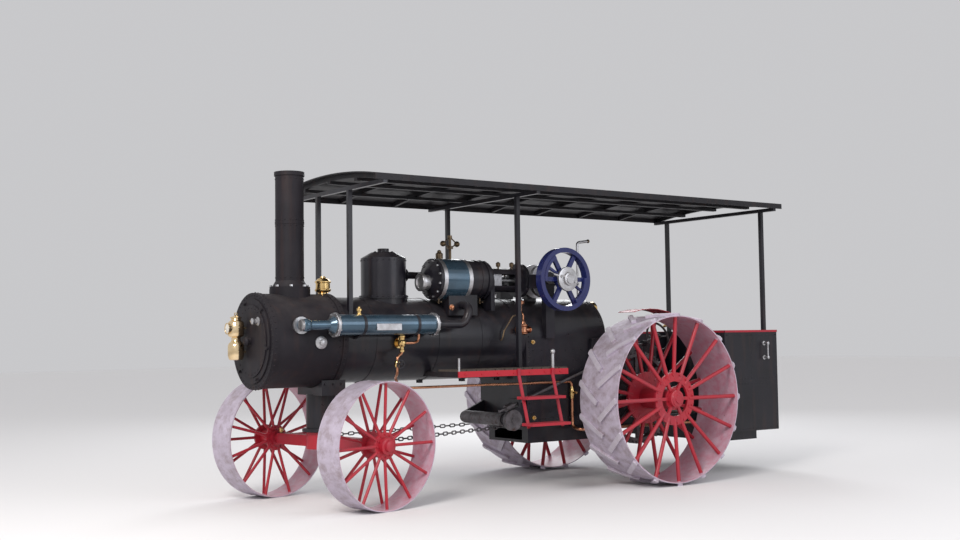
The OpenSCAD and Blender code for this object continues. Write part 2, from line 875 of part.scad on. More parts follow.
module bull_pinion() {
    difference() {
        union() {
            side_plate(bull_y0, bull_y1)
                gear_outline(bull_module, bull_pinion_teeth, bull_pinion_turn);
            bar_y(70, train_y1 + side_gap, bull_y0 + 1);
        }
        bar_y(38 + run_gap, train_y1, bull_y1 + 1);
    }
}
module bull_pinion_left() {
    color("#3a3638")
        from_axle()
            translate([counter_x, 0, counter_z])
                bull_pinion();
}
module bull_pinion_right() {
    color("#3a3638")
        from_axle()
            translate([counter_x, 0, counter_z])
                mirror([0, 1, 0])
                    bull_pinion();
}

module bull_gear() {
    translate([0, 0, rear_r])
        spoked_gear(bull_module, bull_teeth, bull_turn, axle_r + 60, axle_r + run_gap, 8,
            bull_y0, bull_y1);
    translate([0, 0, rear_r])
        ring_y(axle_r + 50, axle_r + run_gap, bull_y1, wheel_inner_y + 30);
}
module bull_gear_left() {
    color("#3a3638")
        from_axle()
            bull_gear();
}
module bull_gear_right() {
    color("#3a3638")
        from_axle()
            mirror([0, 1, 0])
                bull_gear();
}

// Fly-ball governor on the steam chest
module governor() {
    y = chest_y0 + 75;
    z = chest_top;
    x = cylinder_back + 210;
    color("#8c7a4c")
        from_axle()
            translate([x, y, z]) {
                bar_z(45, 0, 60);
                bar_z(14, 60, 330);
                bar_z(34, 195, 225);
                bar_z(24, 295, 340);
                for (side = [-1, 1]) {
                    bar([side * 10, 0, 318], [side * 90, 0, 250], 7);
                    bar([side * 10, 0, 210], [side * 90, 0, 250], 7);
                    translate([side * 90, 0, 250])
                        rotate([90, 0, 0])
                            sphere(r = 32);
                }
            }
}

// Cast brackets at the firebox's rear corners, for the rear axle, the countershaft and the idler
module axle_brackets() {
    color("#1f1d22")
        from_axle() {
            both_sides()
                difference() {
                    side_plate(bracket_y0, bracket_y1)
                        difference() {
                            union() {
                                translate([0, rear_r])
                                    circle(r = axle_r + 70);
                                translate([counter_x, counter_z])
                                    circle(r = 90);
                                polygon([
                                    [-axle_r - 50, rear_r], [counter_x - 80, counter_z],
                                    [counter_x + 60, counter_z + 70], [firebox_back + 240, counter_z + 50],
                                    [firebox_back + 300, rear_r - 100], [100, floor_z], [-100, floor_z]
                                ]);
                            }
                            translate([0, rear_r])
                                circle(r = axle_r + seat_gap);
                            translate([counter_x, counter_z])
                                circle(r = 38 + seat_gap);
                        }
                }
            // Stud of the intermediate gear, on a foot on the firebox's right side
            difference() {
                translate([idler_x, 0, idler_z]) {
                    bar_y(40, -train_y1 - 20, -bracket_y1);
                    bar_y(110, -bracket_y1 - 8, -250);
                }
                barrel_room();
            }
        }
}

module rear_axle() {
    color("#55555c")
        from_axle()
            translate([0, 0, rear_r])
                bar_y(axle_r, -wheel_face_y + 60, wheel_face_y - 60);
}

module rear_wheel_left() {
    color("#a79fb4")
        from_axle()
            translate([0, 0, rear_r])
                rear_wheel();
}
module rear_wheel_right() {
    color("#a79fb4")
        from_axle()
            translate([0, 0, rear_r])
                mirror([0, 1, 0])
                    rear_wheel();
}

// Saddle under the smokebox that carries the steering pin
module front_pedestal() {
    top = boiler_z - smokebox_r;
    color("#1f1d22")
        from_axle()
            translate([wheelbase, 0, 0])
                difference() {
                    union() {
                        block([-pedestal_len / 2, -pedestal_hw, top - 80],
                            [pedestal_len / 2, pedestal_hw, top + 120]);
                        bar_z(pedestal_r, front_z + 130, top - 70);
                        bar_z(pedestal_r + 40, front_z + 100, front_z + 130);
                    }
                    translate([-wheelbase, 0, boiler_z])
                        bar_x(smokebox_r + 8 + seat_gap, smokebox_back - pedestal_len, smokebox_front);
                    bar_z(steer_pin_r + run_gap, front_z, front_z + 300);
                }
}

// Arched beam with round journals, and the steering pin at its middle
module front_axle() {
    inner = front_track / 2 - front_w;
    color("#b3243a")
        on_front_axle()
            translate([0, 0, front_z]) {
                block([-55, -inner + 30, -55], [55, inner - 30, 55]);
                bar_z(150, -70, 94);
                bar_z(steer_pin_r, 90, 290);
                both_sides() {
                    bar_y(journal_r, inner - 40, front_track / 2 - 40);
                    bar_y(journal_r + 16, inner - 30, inner + 15);
                    translate([eye_x, chain_y, 0])
                        rotate([90, 0, 0])
                            rotate_extrude()
                                translate([eye_r, 0])
                                    circle(r = eye_wire);
                }
            }
}

module front_wheel_left() {
    color("#a79fb4")
        on_front_axle()
            translate([0, 0, front_z])
                front_wheel();
}
module front_wheel_right() {
    color("#a79fb4")
        on_front_axle()
            translate([0, 0, front_z])
                mirror([0, 1, 0])
                    front_wheel();
}

// Chain drum under the barrel, with the worm wheel on the left end of its shaft
module steering_drum() {
    color("#3a3638")
        from_axle()
            translate([drum_x, 0, drum_z]) {
                bar_y(drum_r, -drum_bracket_y + side_gap, drum_bracket_y - side_gap);
                bar_y(drum_shaft_r, -drum_bracket_y - 50, steer_shaft_y + 30);
                bar_y(worm_wheel_r, steer_shaft_y - 25, steer_shaft_y + 25);
            }
}

// Brackets on the firebox front for the drum, the left one reaching out to the worm
module drum_brackets() {
    arm_x = worm_x - 100;
    arm_z = worm_z + 115 * tan(steer_tilt);
    color("#1f1d22")
        from_axle()
            difference() {
                union() {
                    both_sides()
                        side_plate(drum_bracket_y, drum_bracket_y + 28)
                            hull() {
                                translate([drum_x, drum_z])
                                    circle(r = drum_shaft_r + 30);
                                translate([firebox_front, drum_z - 90])
                                    square([10, 260]);
                            }
                    // Arm that holds the lower bearing of the steering shaft
                    block([arm_x - 30, drum_bracket_y + 10, arm_z - 45],
                        [arm_x, steer_shaft_y + 40, arm_z + 45]);
                    block([firebox_front, drum_bracket_y, arm_z - 45],
                        [arm_x, drum_bracket_y + 28, arm_z + 45]);
                }
                translate([drum_x, 0, drum_z])
                    bar_y(drum_shaft_r + run_gap, -500, 480);
                steer_shaft_line(steer_shaft_r + run_gap);
            }
}

// Chains from the drum to the front axle
module steering_chains() {
    // Length that two links share
    lap = 20;
    color("#6a6472")
        for (side = [-1, 1]) {
            hook = [
                rear_x + wheelbase + eye_x * cos(steer_rest) - side * chain_y * sin(steer_rest),
                side * chain_y * cos(steer_rest) + eye_x * sin(steer_rest),
                front_z
            ];
            start = [rear_x + drum_x, side * drum_chain_y, drum_z - drum_r - chain_wire - seat_gap];
            way = hook - start;
            run = norm(way) - eye_r - eye_wire - seat_gap - lap;
            links = round(run / chain_pitch);
            pitch = run / links;
            translate(start)
                rotate([0, -atan2(way[2], norm([way[0], way[1]])), 0])
                    rotate([0, 0, atan2(way[1], way[0])])
                        for (i = [0 : links - 1])
                            translate([(pitch + lap) / 2 + pitch * i, 0, 0])
                                rotate([90 * (i % 2), 0, 0])
                                    linear_extrude(2 * chain_wire, center = true)
                                        difference() {
                                            square([pitch + lap, 46], center = true);
                                            square([pitch - 8, 22], center = true);
                                        }
        }
}

// The straight line of the inclined steering shaft
module steer_shaft_line(r) {
    worm = [worm_x, steer_shaft_y, worm_z];
    wheel = [hand_wheel_x, steer_shaft_y, hand_wheel_z];
    bar(worm - 0.06 * (wheel - worm), wheel, r);
}

// Inclined shaft from the drum's worm to the hand wheel
module steering_shaft() {
    worm = [worm_x, steer_shaft_y, worm_z];
    wheel = [hand_wheel_x, steer_shaft_y, hand_wheel_z];
    way = wheel - worm;
    color("#4a444e")
        from_axle() {
            steer_shaft_line(steer_shaft_r);
            bar(worm - 0.022 * way, worm + 0.022 * way, worm_r);
            translate(wheel)
                rotate([0, steer_tilt - 90, 0]) {
                    rotate_extrude($fn = 64)
                        translate([hand_wheel_r, 0])
                            circle(r = 13);
                    bar_z(34, -24, 24);
                    for (i = [0 : 3])
                        rotate([0, 90, 90 * i])
                            cylinder(r = 9, h = hand_wheel_r);
                }
        }
}

module platform() {
    x0 = -tank_back + tank_len;
    x1 = firebox_back - 60;
    post_x = -300;
    shaft_z = hand_wheel_z - (post_x - hand_wheel_x) * tan(steer_tilt);
    color("#2a2426")
        from_axle() {
            block([x0, -platform_hw, floor_z - 14], [x1, platform_hw, floor_z]);
            for (y = [-520, 440])
                block([x0, y, floor_z - 110], [x1, y + 80, floor_z - 14]);
            // Post with the upper bearing of the steering shaft
            difference() {
                union() {
                    translate([post_x, steer_shaft_y, 0])
                        bar_z(16, floor_z, shaft_z);
                    translate([post_x - 22, steer_shaft_y, shaft_z])
                        bar_x(34, 0, 44);
                }
                steer_shaft_line(steer_shaft_r + run_gap);
            }
        }
}

// Curved guards over the inner half of the rear wheels, on stays from the platform and the tank
module fenders() {
    stay_x = -fender_r * 0.343;
    stay_y = platform_hw + 40;
    stay_z = rear_r + sqrt(pow(fender_r + 2, 2) - pow(stay_x, 2));
    rear_stay_z = rear_r + fender_r * 0.389;
    rear_stay_x = -sqrt(pow(fender_r, 2) - pow(rear_stay_z - rear_r, 2));
    color("#b3243a")
        from_axle()
            both_sides() {
                translate([0, 0, rear_r])
                    rotate([90, 0, 0])
                        rotate_extrude(angle = 90, start = 75)
                            translate([fender_r, -fender_y1])
                                square([fender_t, fender_y1 - fender_y0]);
                translate([stay_x, stay_y, 0])
                    bar_z(stay_r + 2, floor_z - 14, stay_z);
                translate([stay_x, 0, stay_z])
                    bar_y(stay_r, stay_y, fender_y0 + 30);
                block([stay_x - 20, platform_hw, floor_z - 14], [stay_x + 20, stay_y, floor_z]);
                translate([0, fender_y0 + 70, rear_stay_z])
                    bar_x(stay_r, -tank_back + tank_len, rear_stay_x + 2);
            }
}

// Closed water tank with an open bunker on top of it
module tank() {
    x0 = -tank_back;
    x1 = -tank_back + tank_len;
    color("#19171b")
        from_axle() {
            difference() {
                block([x0, -tank_hw, tank_bottom], [x1, tank_hw, bunker_top]);
                block([x0 + sheet_t, -tank_hw + sheet_t, tank_top],
                    [x1 - sheet_t, tank_hw - sheet_t, bunker_top + 1]);
                block([x1 - sheet_t - 1, -280, tank_top], [x1 + 1, 280, bunker_top + 1]);
                translate([-tank_back + lid_in, lid_y, 0])
                    bar_z(lid_r - 25, tank_top - 250, tank_top + 1);
            }
            block([x0 + 330, -tank_hw + 60, tank_bottom - 100], [x1, tank_hw - 60, tank_bottom]);
        }
}

module tank_lid() {
    color("#2a2426")
        from_axle()
            translate([-tank_back + lid_in, lid_y, tank_top + seat_gap]) {
                bar_z(lid_r, 0, 24);
                block([-45, -12, 24], [45, 12, 50]);
                block([-lid_r - lid_pin_r, -40, 4], [-lid_r + 40, 40, 16]);
                translate([-lid_r - lid_pin_r, 0, lid_pin_r])
                    bar_y(lid_pin_r, -60, 60);
            }
}

module drawbar() {
    color("#3a3638")
        from_axle()
            difference() {
                block([-drawbar_back, -140, tank_bottom - 60], [-tank_back + 330, 140, tank_bottom]);
                translate([-tank_back - 20, 0, 0])
                    bar_z(20, tank_bottom - 61, tank_bottom + 1);
            }
}

module running_boards() {
    color("#b3243a")
        from_axle()
            both_sides()
                difference() {
                    union() {
                        block([board_back, board_y0, board_z - board_t],
                            [board_back + board_len, board_y1, board_z]);
                        for (x = [board_back + 60, board_back + board_len - 110])
                            block([x, 180, board_z - 60], [x + 50, board_y0 + 20, board_z - 10]);
                    }
                    block([board_back - 1, board_y0 + 30, board_z - board_t - 1],
                        [board_back + board_len - 30, board_y1 - 20, board_z - 8]);
                    barrel_room();
                    block([firebox_back, 0, firebox_bottom],
                        [firebox_front, firebox_hw + seat_gap, boiler_z + board_t]);
                }
}

// Two-step ladder hung from the left running board
module ladder() {
    top = board_z + 10;
    bend = board_z - board_t;
    foot = step_z[0] - 35;
    y0 = board_y1 + seat_gap;
    x1 = ladder_x0 + ladder_w;
    color("#b3243a")
        from_axle() {
            for (x = [ladder_x0, x1 - rail_w])
                cross_plate(x, x + rail_w)
                    polygon([[y0, top], [y0, bend], [y0 + ladder_lean, foot],
                        [y0 + ladder_lean + rail_t, foot], [y0 + rail_t, bend], [y0 + rail_t, top]]);
            for (z = step_z) {
                y = y0 + ladder_lean * (bend - z) / (bend - foot);
                block([ladder_x0 - step_over, y - step_in, z - step_t / 2],
                    [x1 + step_over, y + step_out, z + step_t / 2]);
            }
        }
}

// Arched roof with a rim around it
module canopy() {
    r = (pow(canopy_hw, 2) + pow(canopy_rise, 2)) / (2 * canopy_rise);
    color("#17151a")
        from_axle() {
            difference() {
                cross_plate(-canopy_back, canopy_front)
                    intersection() {
                        difference() {
                            translate([0, canopy_z + canopy_rise - r])
                                circle(r = r, $fn = 96);
                            translate([0, canopy_z + canopy_rise - r])
                                circle(r = r - roof_t, $fn = 96);
                        }
                        translate([-canopy_hw, canopy_z - 60])
                            square([2 * canopy_hw, canopy_rise + 100]);
                    }
            }
            both_sides()
                block([-canopy_back, canopy_hw - 8, canopy_z - 60],
                    [canopy_front, canopy_hw, canopy_z - 6]);
            // Bent bows under the sheet, and the laths that join them
            for (i = [0 : bow_count - 1])
                translate([-canopy_back + bow_end + i * bow_pitch, 0, 0])
                    cross_plate(0, bow_w)
                        intersection() {
                            difference() {
                                translate([0, canopy_z + canopy_rise - r])
                                    circle(r = r - roof_t + 1, $fn = 96);
                                translate([0, canopy_z + canopy_rise - r])
                                    circle(r = r - roof_t - bow_h, $fn = 96);
                            }
                            translate([-canopy_hw + 1, canopy_z - post_drop + seat_gap])
                                square([2 * canopy_hw - 2, canopy_rise + 100]);
                        }
            for (y = [-lath_y, 0, lath_y]) {
                under = canopy_z + canopy_rise - r + sqrt(r * r - y * y) - roof_t - bow_h;
                block([-canopy_back + bow_end, y - lath_w / 2, under - lath_h],
                    [canopy_front - bow_end, y + lath_w / 2, under + 2]);
            }
        }
}

module canopy_posts() {
    rail_z = canopy_z - post_drop;
    // Post table: place along X, place across, foot height
    posts = [
        [canopy_front - 2.5 * post_w, barrel_r - 100, boiler_z + barrel_r / 2],
        [board_back + barrel_r, board_y0 + 100, board_z],
        [-tank_back + 3.4 * post_w, tank_hw - 1.6 * post_w, tank_top]
    ];
    color("#1f1d22")
        from_axle()
            both_sides()
                difference() {
                    union() {
                        for (p = posts)
                            block([p[0] - post_w / 2, p[1] - post_w / 2, p[2]],
                                [p[0] + post_w / 2, p[1] + post_w / 2, rail_z]);
                        for (p = posts)
                            block([p[0] - post_w / 2, 0, rail_z - 40],
                                [p[0] + post_w / 2, canopy_hw - 8, rail_z]);
                    }
                    barrel_room();
                }
}

// One lever on a foot on the platform
module lever(foot, top) {
    block([foot[0] - 30, foot[1] - 22, floor_z], [foot[0] + 30, foot[1] + 22, floor_z + 40]);
    bar([foot[0], foot[1], floor_z + 20], top, 13);
}

module levers() {
    color("#8f8a96")
        from_axle() {
            lever([130, -330], [-60, -330, 1900]);
            lever([-120, -280], [-200, -280, 1700]);
        }
}

module lamp() {
    color("#d8b070")
        from_axle()
            translate([lamp_x, lamp_y, lamp_z]) {
                block([door_face_x - lamp_x, -30, -130], [lamp_depth / 2, 30, -60]);
                translate([lamp_depth / 2, 0, 0]) {
                    bar_z(lamp_depth / 2, -170, -30);
                    bar_z(lamp_depth / 2 - 14, -30, 10);
                    bar_z(lamp_depth / 2 - 4, 10, 150);
                    bar_z(36, 150, 190);
                }
            }
}

boiler_barrel();
smokebox();
smokebox_door();
chimney();
steam_dome();
firebox();
fire_door();
ash_pan();
safety_valve();
feed_heater();
engine_bed();
steam_cylinder();
crosshead();
connecting_rod();
crankshaft();
flywheel();
idler_gear();
main_gear();
countershaft();
bull_pinion_left();
bull_pinion_right();
bull_gear_left();
bull_gear_right();
governor();
axle_brackets();
rear_axle();
rear_wheel_left();
rear_wheel_right();
front_pedestal();
front_axle();
front_wheel_left();
front_wheel_right();
steering_drum();
drum_brackets();
steering_chains();
steering_shaft();
platform();
fenders();
tank();
tank_lid();
drawbar();
running_boards();
ladder();
canopy();
canopy_posts();
levers();
lamp();
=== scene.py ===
import math

import bmesh
import bpy
from mathutils import Matrix, Vector


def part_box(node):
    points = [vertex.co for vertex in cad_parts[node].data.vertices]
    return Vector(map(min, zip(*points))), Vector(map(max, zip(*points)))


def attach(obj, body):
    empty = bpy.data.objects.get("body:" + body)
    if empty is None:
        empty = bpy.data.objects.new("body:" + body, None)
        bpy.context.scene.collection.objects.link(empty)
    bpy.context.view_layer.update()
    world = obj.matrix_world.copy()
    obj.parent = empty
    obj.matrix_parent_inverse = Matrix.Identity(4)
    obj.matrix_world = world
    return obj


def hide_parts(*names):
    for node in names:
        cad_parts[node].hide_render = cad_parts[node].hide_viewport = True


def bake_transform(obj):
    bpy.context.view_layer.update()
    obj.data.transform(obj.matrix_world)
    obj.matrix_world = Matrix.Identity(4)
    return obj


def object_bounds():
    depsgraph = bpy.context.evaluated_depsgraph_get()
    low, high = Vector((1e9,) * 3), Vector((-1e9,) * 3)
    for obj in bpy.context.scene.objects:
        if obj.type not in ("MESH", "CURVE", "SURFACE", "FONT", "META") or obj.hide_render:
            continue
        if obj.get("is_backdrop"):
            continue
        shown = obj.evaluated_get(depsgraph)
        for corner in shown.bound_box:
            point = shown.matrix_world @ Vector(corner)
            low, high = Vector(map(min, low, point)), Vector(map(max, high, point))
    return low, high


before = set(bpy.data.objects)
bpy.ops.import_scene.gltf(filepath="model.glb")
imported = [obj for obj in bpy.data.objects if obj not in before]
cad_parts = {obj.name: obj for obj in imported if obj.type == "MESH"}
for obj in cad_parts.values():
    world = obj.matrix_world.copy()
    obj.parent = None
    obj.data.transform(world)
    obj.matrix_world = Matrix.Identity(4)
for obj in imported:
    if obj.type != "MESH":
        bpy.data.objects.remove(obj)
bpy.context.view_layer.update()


# Camera, floor and studio light
# The camera stands ahead and to the left of the engine, at a standing person's eye height, and looks
# slightly up. Its place and angles come from the ellipses of the wheels, the chimney and the canopy.
IMAGE_WIDTH_PX, FOCAL_PX, SENSOR_MM = 960, 1204, 36
EYE = Vector((8.080, 10.759, 1.615))
YAW, PITCH, ROLL = math.radians(35.28), math.radians(3.22), math.radians(-0.77)
ALONG, ACROSS, UPWARD = Vector((1, 0, 0)), Vector((0, 1, 0)), Vector((0, 0, 1))


def added(name, data):
    """A new object of the scene."""
    made = bpy.data.objects.new(name, data)
    bpy.context.scene.collection.objects.link(made)
    return made


camera = added("camera", bpy.data.cameras.new("camera"))
camera.data.sensor_width = SENSOR_MM
camera.data.lens = SENSOR_MM * FOCAL_PX / IMAGE_WIDTH_PX
ahead = Vector((-math.sin(YAW) * math.cos(PITCH), -math.cos(YAW) * math.cos(PITCH), math.sin(PITCH)))
level_right = ahead.cross(UPWARD).normalized()
level_up = level_right.cross(ahead)
right = math.cos(ROLL) * level_right + math.sin(ROLL) * level_up
up = -math.sin(ROLL) * level_right + math.cos(ROLL) * level_up
camera.matrix_world = Matrix.Translation(EYE) @ Matrix((right, up, -ahead)).transposed().to_4x4()
bpy.context.scene.camera = camera
bpy.context.scene.view_settings.view_transform = "Standard"


def soft_lamp(name, place, target_z, size, power, colour):
    """A square area lamp that faces a height above the engine's middle."""
    data = bpy.data.lights.new(name, "AREA")
    data.shape, data.size, data.energy, data.color = "SQUARE", size, power, colour
    aim = (Vector((0, 0, target_z)) - Vector(place)).to_track_quat("-Z", "Y")
    added(name, data).matrix_world = Matrix.Translation(Vector(place)) @ aim.to_matrix().to_4x4()


soft_lamp("key_lamp", (9.5, 6.0, 8.5), target_z=1.2, size=4.0, power=1000, colour=(1.0, 0.96, 0.93))
soft_lamp("fill_lamp", (-3.0, 11.0, 5.0), target_z=1.4, size=6.0, power=260, colour=(0.9, 0.93, 1.0))
soft_lamp("rim_lamp", (-6.5, -7.5, 6.5), target_z=1.5, size=4.0, power=320, colour=(0.95, 0.97, 1.0))


def feed(tree, slot, value):
    """Links a flow to a socket, or else sets the socket's value."""
    if isinstance(value, Flow):
        tree.links.new(value.socket, slot)
    else:
        slot.default_value = value


def operators(operation):
    """A Math operation's plain form and its reflected form, as methods of a flow."""
    return (lambda flow, other: flow.math(operation, flow, other),
            lambda flow, other: flow.math(operation, other, flow))


class Flow:
    """A socket of a node tree. + - * and / on it add Math nodes, with numbers or other sockets."""

    def __init__(self, tree, socket):
        self.tree, self.socket = tree, socket

    def math(self, operation, *values, clamp=False):
        step = self.tree.nodes.new("ShaderNodeMath")
        step.operation, step.use_clamp = operation, clamp
        for slot, value in zip(step.inputs, values):
            feed(self.tree, slot, value)
        return Flow(self.tree, step.outputs[0])

    __add__, __radd__ = operators("ADD")
    __sub__, __rsub__ = operators("SUBTRACT")
    __mul__, __rmul__ = operators("MULTIPLY")
    __truediv__, __rtruediv__ = operators("DIVIDE")

    def clip(self):
        return self.math("ADD", self, 0, clamp=True)

    def over(self, level, width=0.02):
        """1 where the value is above a level, 0 below it, with a soft step as wide as given."""
        return ((self - (level - width / 2)) / width).clip()


class Graph:
    """A node tree under construction, of the world, of a material or of geometry."""

    def __init__(self, tree):
        self.tree = tree

    def node(self, kind, settings=None, inputs=None, output=0):
        """Adds a node of a kind, with its settings first and then the values or links of its sockets."""
        made = self.tree.nodes.new(kind)
        for key, value in (settings or {}).items():
            setattr(made, key, value)
        for key, value in (inputs or {}).items():
            feed(self.tree, made.inputs[key], value)
        return Flow(self.tree, made.outputs[output]) if made.outputs else None


studio = bpy.data.worlds.new("studio")
studio.use_nodes = True
studio.node_tree.nodes.clear()
bpy.context.scene.world = studio
sky = Graph(studio.node_tree)
lighting = sky.node("ShaderNodeBackground", inputs={"Color": (0.95, 0.95, 0.97, 1), "Strength": 0.75})
backdrop = sky.node("ShaderNodeBackground", inputs={"Color": (0.58, 0.58, 0.595, 1)})
seen = sky.node("ShaderNodeLightPath", output="Is Camera Ray")
both = sky.node("ShaderNodeMixShader", inputs={0: seen, 1: lighting, 2: backdrop})
sky.node("ShaderNodeOutputWorld", inputs={"Surface": both})

FLOOR_REACH = 60
floor_paint = bpy.data.materials.new("floor_paint")
floor_paint.use_nodes = True
floor_surface = floor_paint.node_tree.nodes["Principled BSDF"]
floor_surface.inputs["Base Color"].default_value = (0.78, 0.77, 0.77, 1)
floor_surface.inputs["Roughness"].default_value = 0.9
floor_mesh = bpy.data.meshes.new("floor")
corners = [(x * FLOOR_REACH, y * FLOOR_REACH, 0) for x, y in ((-1, -1), (1, -1), (1, 1), (-1, 1))]
floor_mesh.from_pydata(corners, [], [(0, 1, 2, 3)])
floor_mesh.materials.append(floor_paint)
added("floor", floor_mesh)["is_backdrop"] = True


# Boiler barrel
# A riveted steel drum under sheet-iron lagging, which flat iron bands hold round it. It is brushed
# with black enamel, gone dull where dust and oil settle on its top.
class Finish(Graph):
    """A material under construction: its tree, the place on the piece, and its surface shader."""

    def __init__(self, name, metallic=0.0, coat=0.0, specular=0.5):
        self.material = bpy.data.materials.new(name)
        self.material.use_nodes = True
        super().__init__(self.material.node_tree)
        self.surface = self.tree.nodes["Principled BSDF"]
        self.surface.inputs["Metallic"].default_value = metallic
        self.surface.inputs["Specular IOR Level"].default_value = specular
        self.surface.inputs["Coat Weight"].default_value = coat
        self.surface.inputs["Coat Roughness"].default_value = 0.12
        self.place = self.node("ShaderNodeTexCoord", output="Object")
        self.facing = self.node("ShaderNodeNewGeometry", output="Normal")

    def part(self, vector, axis):
        """One of the three numbers of a vector."""
        return self.node("ShaderNodeSeparateXYZ", inputs={0: vector}, output="XYZ".index(axis))

    def noise(self, size, detail=4, roughness=0.55, stretch=(1, 1, 1), seed=0.0):
        """Cloudy noise whose blotches are about as large as size, in metres."""
        values = {0: self.place, "Scale": stretch, "Location": (seed, seed * 0.7, 0)}
        place = self.node("ShaderNodeMapping", inputs=values)
        values = {"Vector": place, "Scale": 1 / size, "Detail": detail, "Roughness": roughness}
        return self.node("ShaderNodeTexNoise", inputs=values)

    def mix(self, share, first, second):
        """A colour between two colours, by a share from 0 to 1."""
        first, second = [value if isinstance(value, Flow) else (*value, 1) for value in (first, second)]
        return self.node("ShaderNodeMix", {"data_type": "RGBA"}, {0: share, 6: first, 7: second}, 2)

    def from_axis(self, centre, axis):
        """Distance of the place on the piece from a line through a centre, in metres."""
        away = self.node("ShaderNodeVectorMath", {"operation": "SUBTRACT"}, {0: self.place, 1: centre})
        along = self.node("ShaderNodeVectorMath", {"operation": "DOT_PRODUCT"}, {0: away, 1: axis}, "Value")
        length = self.node("ShaderNodeVectorMath", {"operation": "LENGTH"}, {0: away}, "Value")
        square = length * length - along * along
        return square.math("SQRT", square.math("MAXIMUM", square, 0))

    def finish(self, colour, roughness, bump=None, depth=0.001, strength=1.0, metallic=None):
        """Joins colour, roughness and a height in metres to the surface, and gives the material."""
        flows = {"Base Color": colour, "Roughness": roughness}
        if metallic:
            flows["Metallic"] = metallic
        if bump:
            values = {"Height": bump, "Distance": depth, "Strength": strength}
            flows["Normal"] = self.node("ShaderNodeBump", inputs=values)
        for name, flow in flows.items():
            feed(self.tree, self.surface.inputs[name], flow)
        return self.material

    def lying_dust(self):
        """Where dust settles: 1 on surfaces that face up, broken up by noise."""
        upward = self.part(self.facing, "Z")
        return (upward.over(0.55, 0.7) * self.noise(0.22, 6, 0.7).over(0.5, 0.45)).clip()


RUST, DUST = (0.075, 0.034, 0.022), (0.16, 0.14, 0.13)


def enamel(name, colour, dull, gloss=0.3, dust=0.35, chips=0.68, coat=0.1, specular=0.3, masked=None):
    """Brushed enamel that fades in patches, chips down to rust and gathers dust. masked is a second
    colour and a function from the finish to a share: where that is 1 the second colour shows."""
    paint = Finish(name, coat=coat, specular=specular)
    faded = paint.mix(paint.noise(0.45, 5, 0.6).over(0.5, 0.5), colour, dull)
    if masked:
        faded = paint.mix(masked[1](paint), faded, masked[0])
    chipped = paint.noise(0.035, 8, 0.7, seed=3.1).over(chips, 0.03)
    streaks = paint.noise(0.08, 4, 0.5, stretch=(1, 1, 0.12), seed=7.7).over(0.62, 0.2) * 0.5
    worn = paint.mix((chipped + streaks * 0.3).clip(), faded, RUST)
    dusty = paint.lying_dust() * dust
    rough = paint.noise(0.12, 5, 0.6, seed=1.3) * 0.25 + (gloss - 0.1) + chipped * 0.4 + dusty * 0.6
    brushed = paint.noise(0.012, 3, 0.5, stretch=(0.25, 1, 1), seed=5.5) * 0.35 - chipped * 0.8
    bump = brushed + paint.noise(0.3, 3)
    return paint.finish(paint.mix(dusty, worn, DUST), rough.clip(), bump, depth=0.0012, strength=0.5)


def dress(finish, *nodes):
    """Gives CAD nodes a material."""
    for node in nodes:
        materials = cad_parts[node].data.materials
        materials.clear()
        materials.append(finish)


SHARP = math.radians(40)


def smoothed(mesh):
    """Shades a mesh smooth but for its sharp edges."""
    mesh.shade_smooth()
    mesh.set_sharp_from_angle(angle=SHARP)


def around(axis, steps, start=0.0):
    """An axis as a unit vector, and unit vectors spread evenly about it."""
    along = Vector(axis).normalized()
    side = along.orthogonal().normalized()
    other = along.cross(side)
    angles = [start + 2 * math.pi * step / steps for step in range(steps)]
    return along, [math.cos(angle) * side + math.sin(angle) * other for angle in angles]


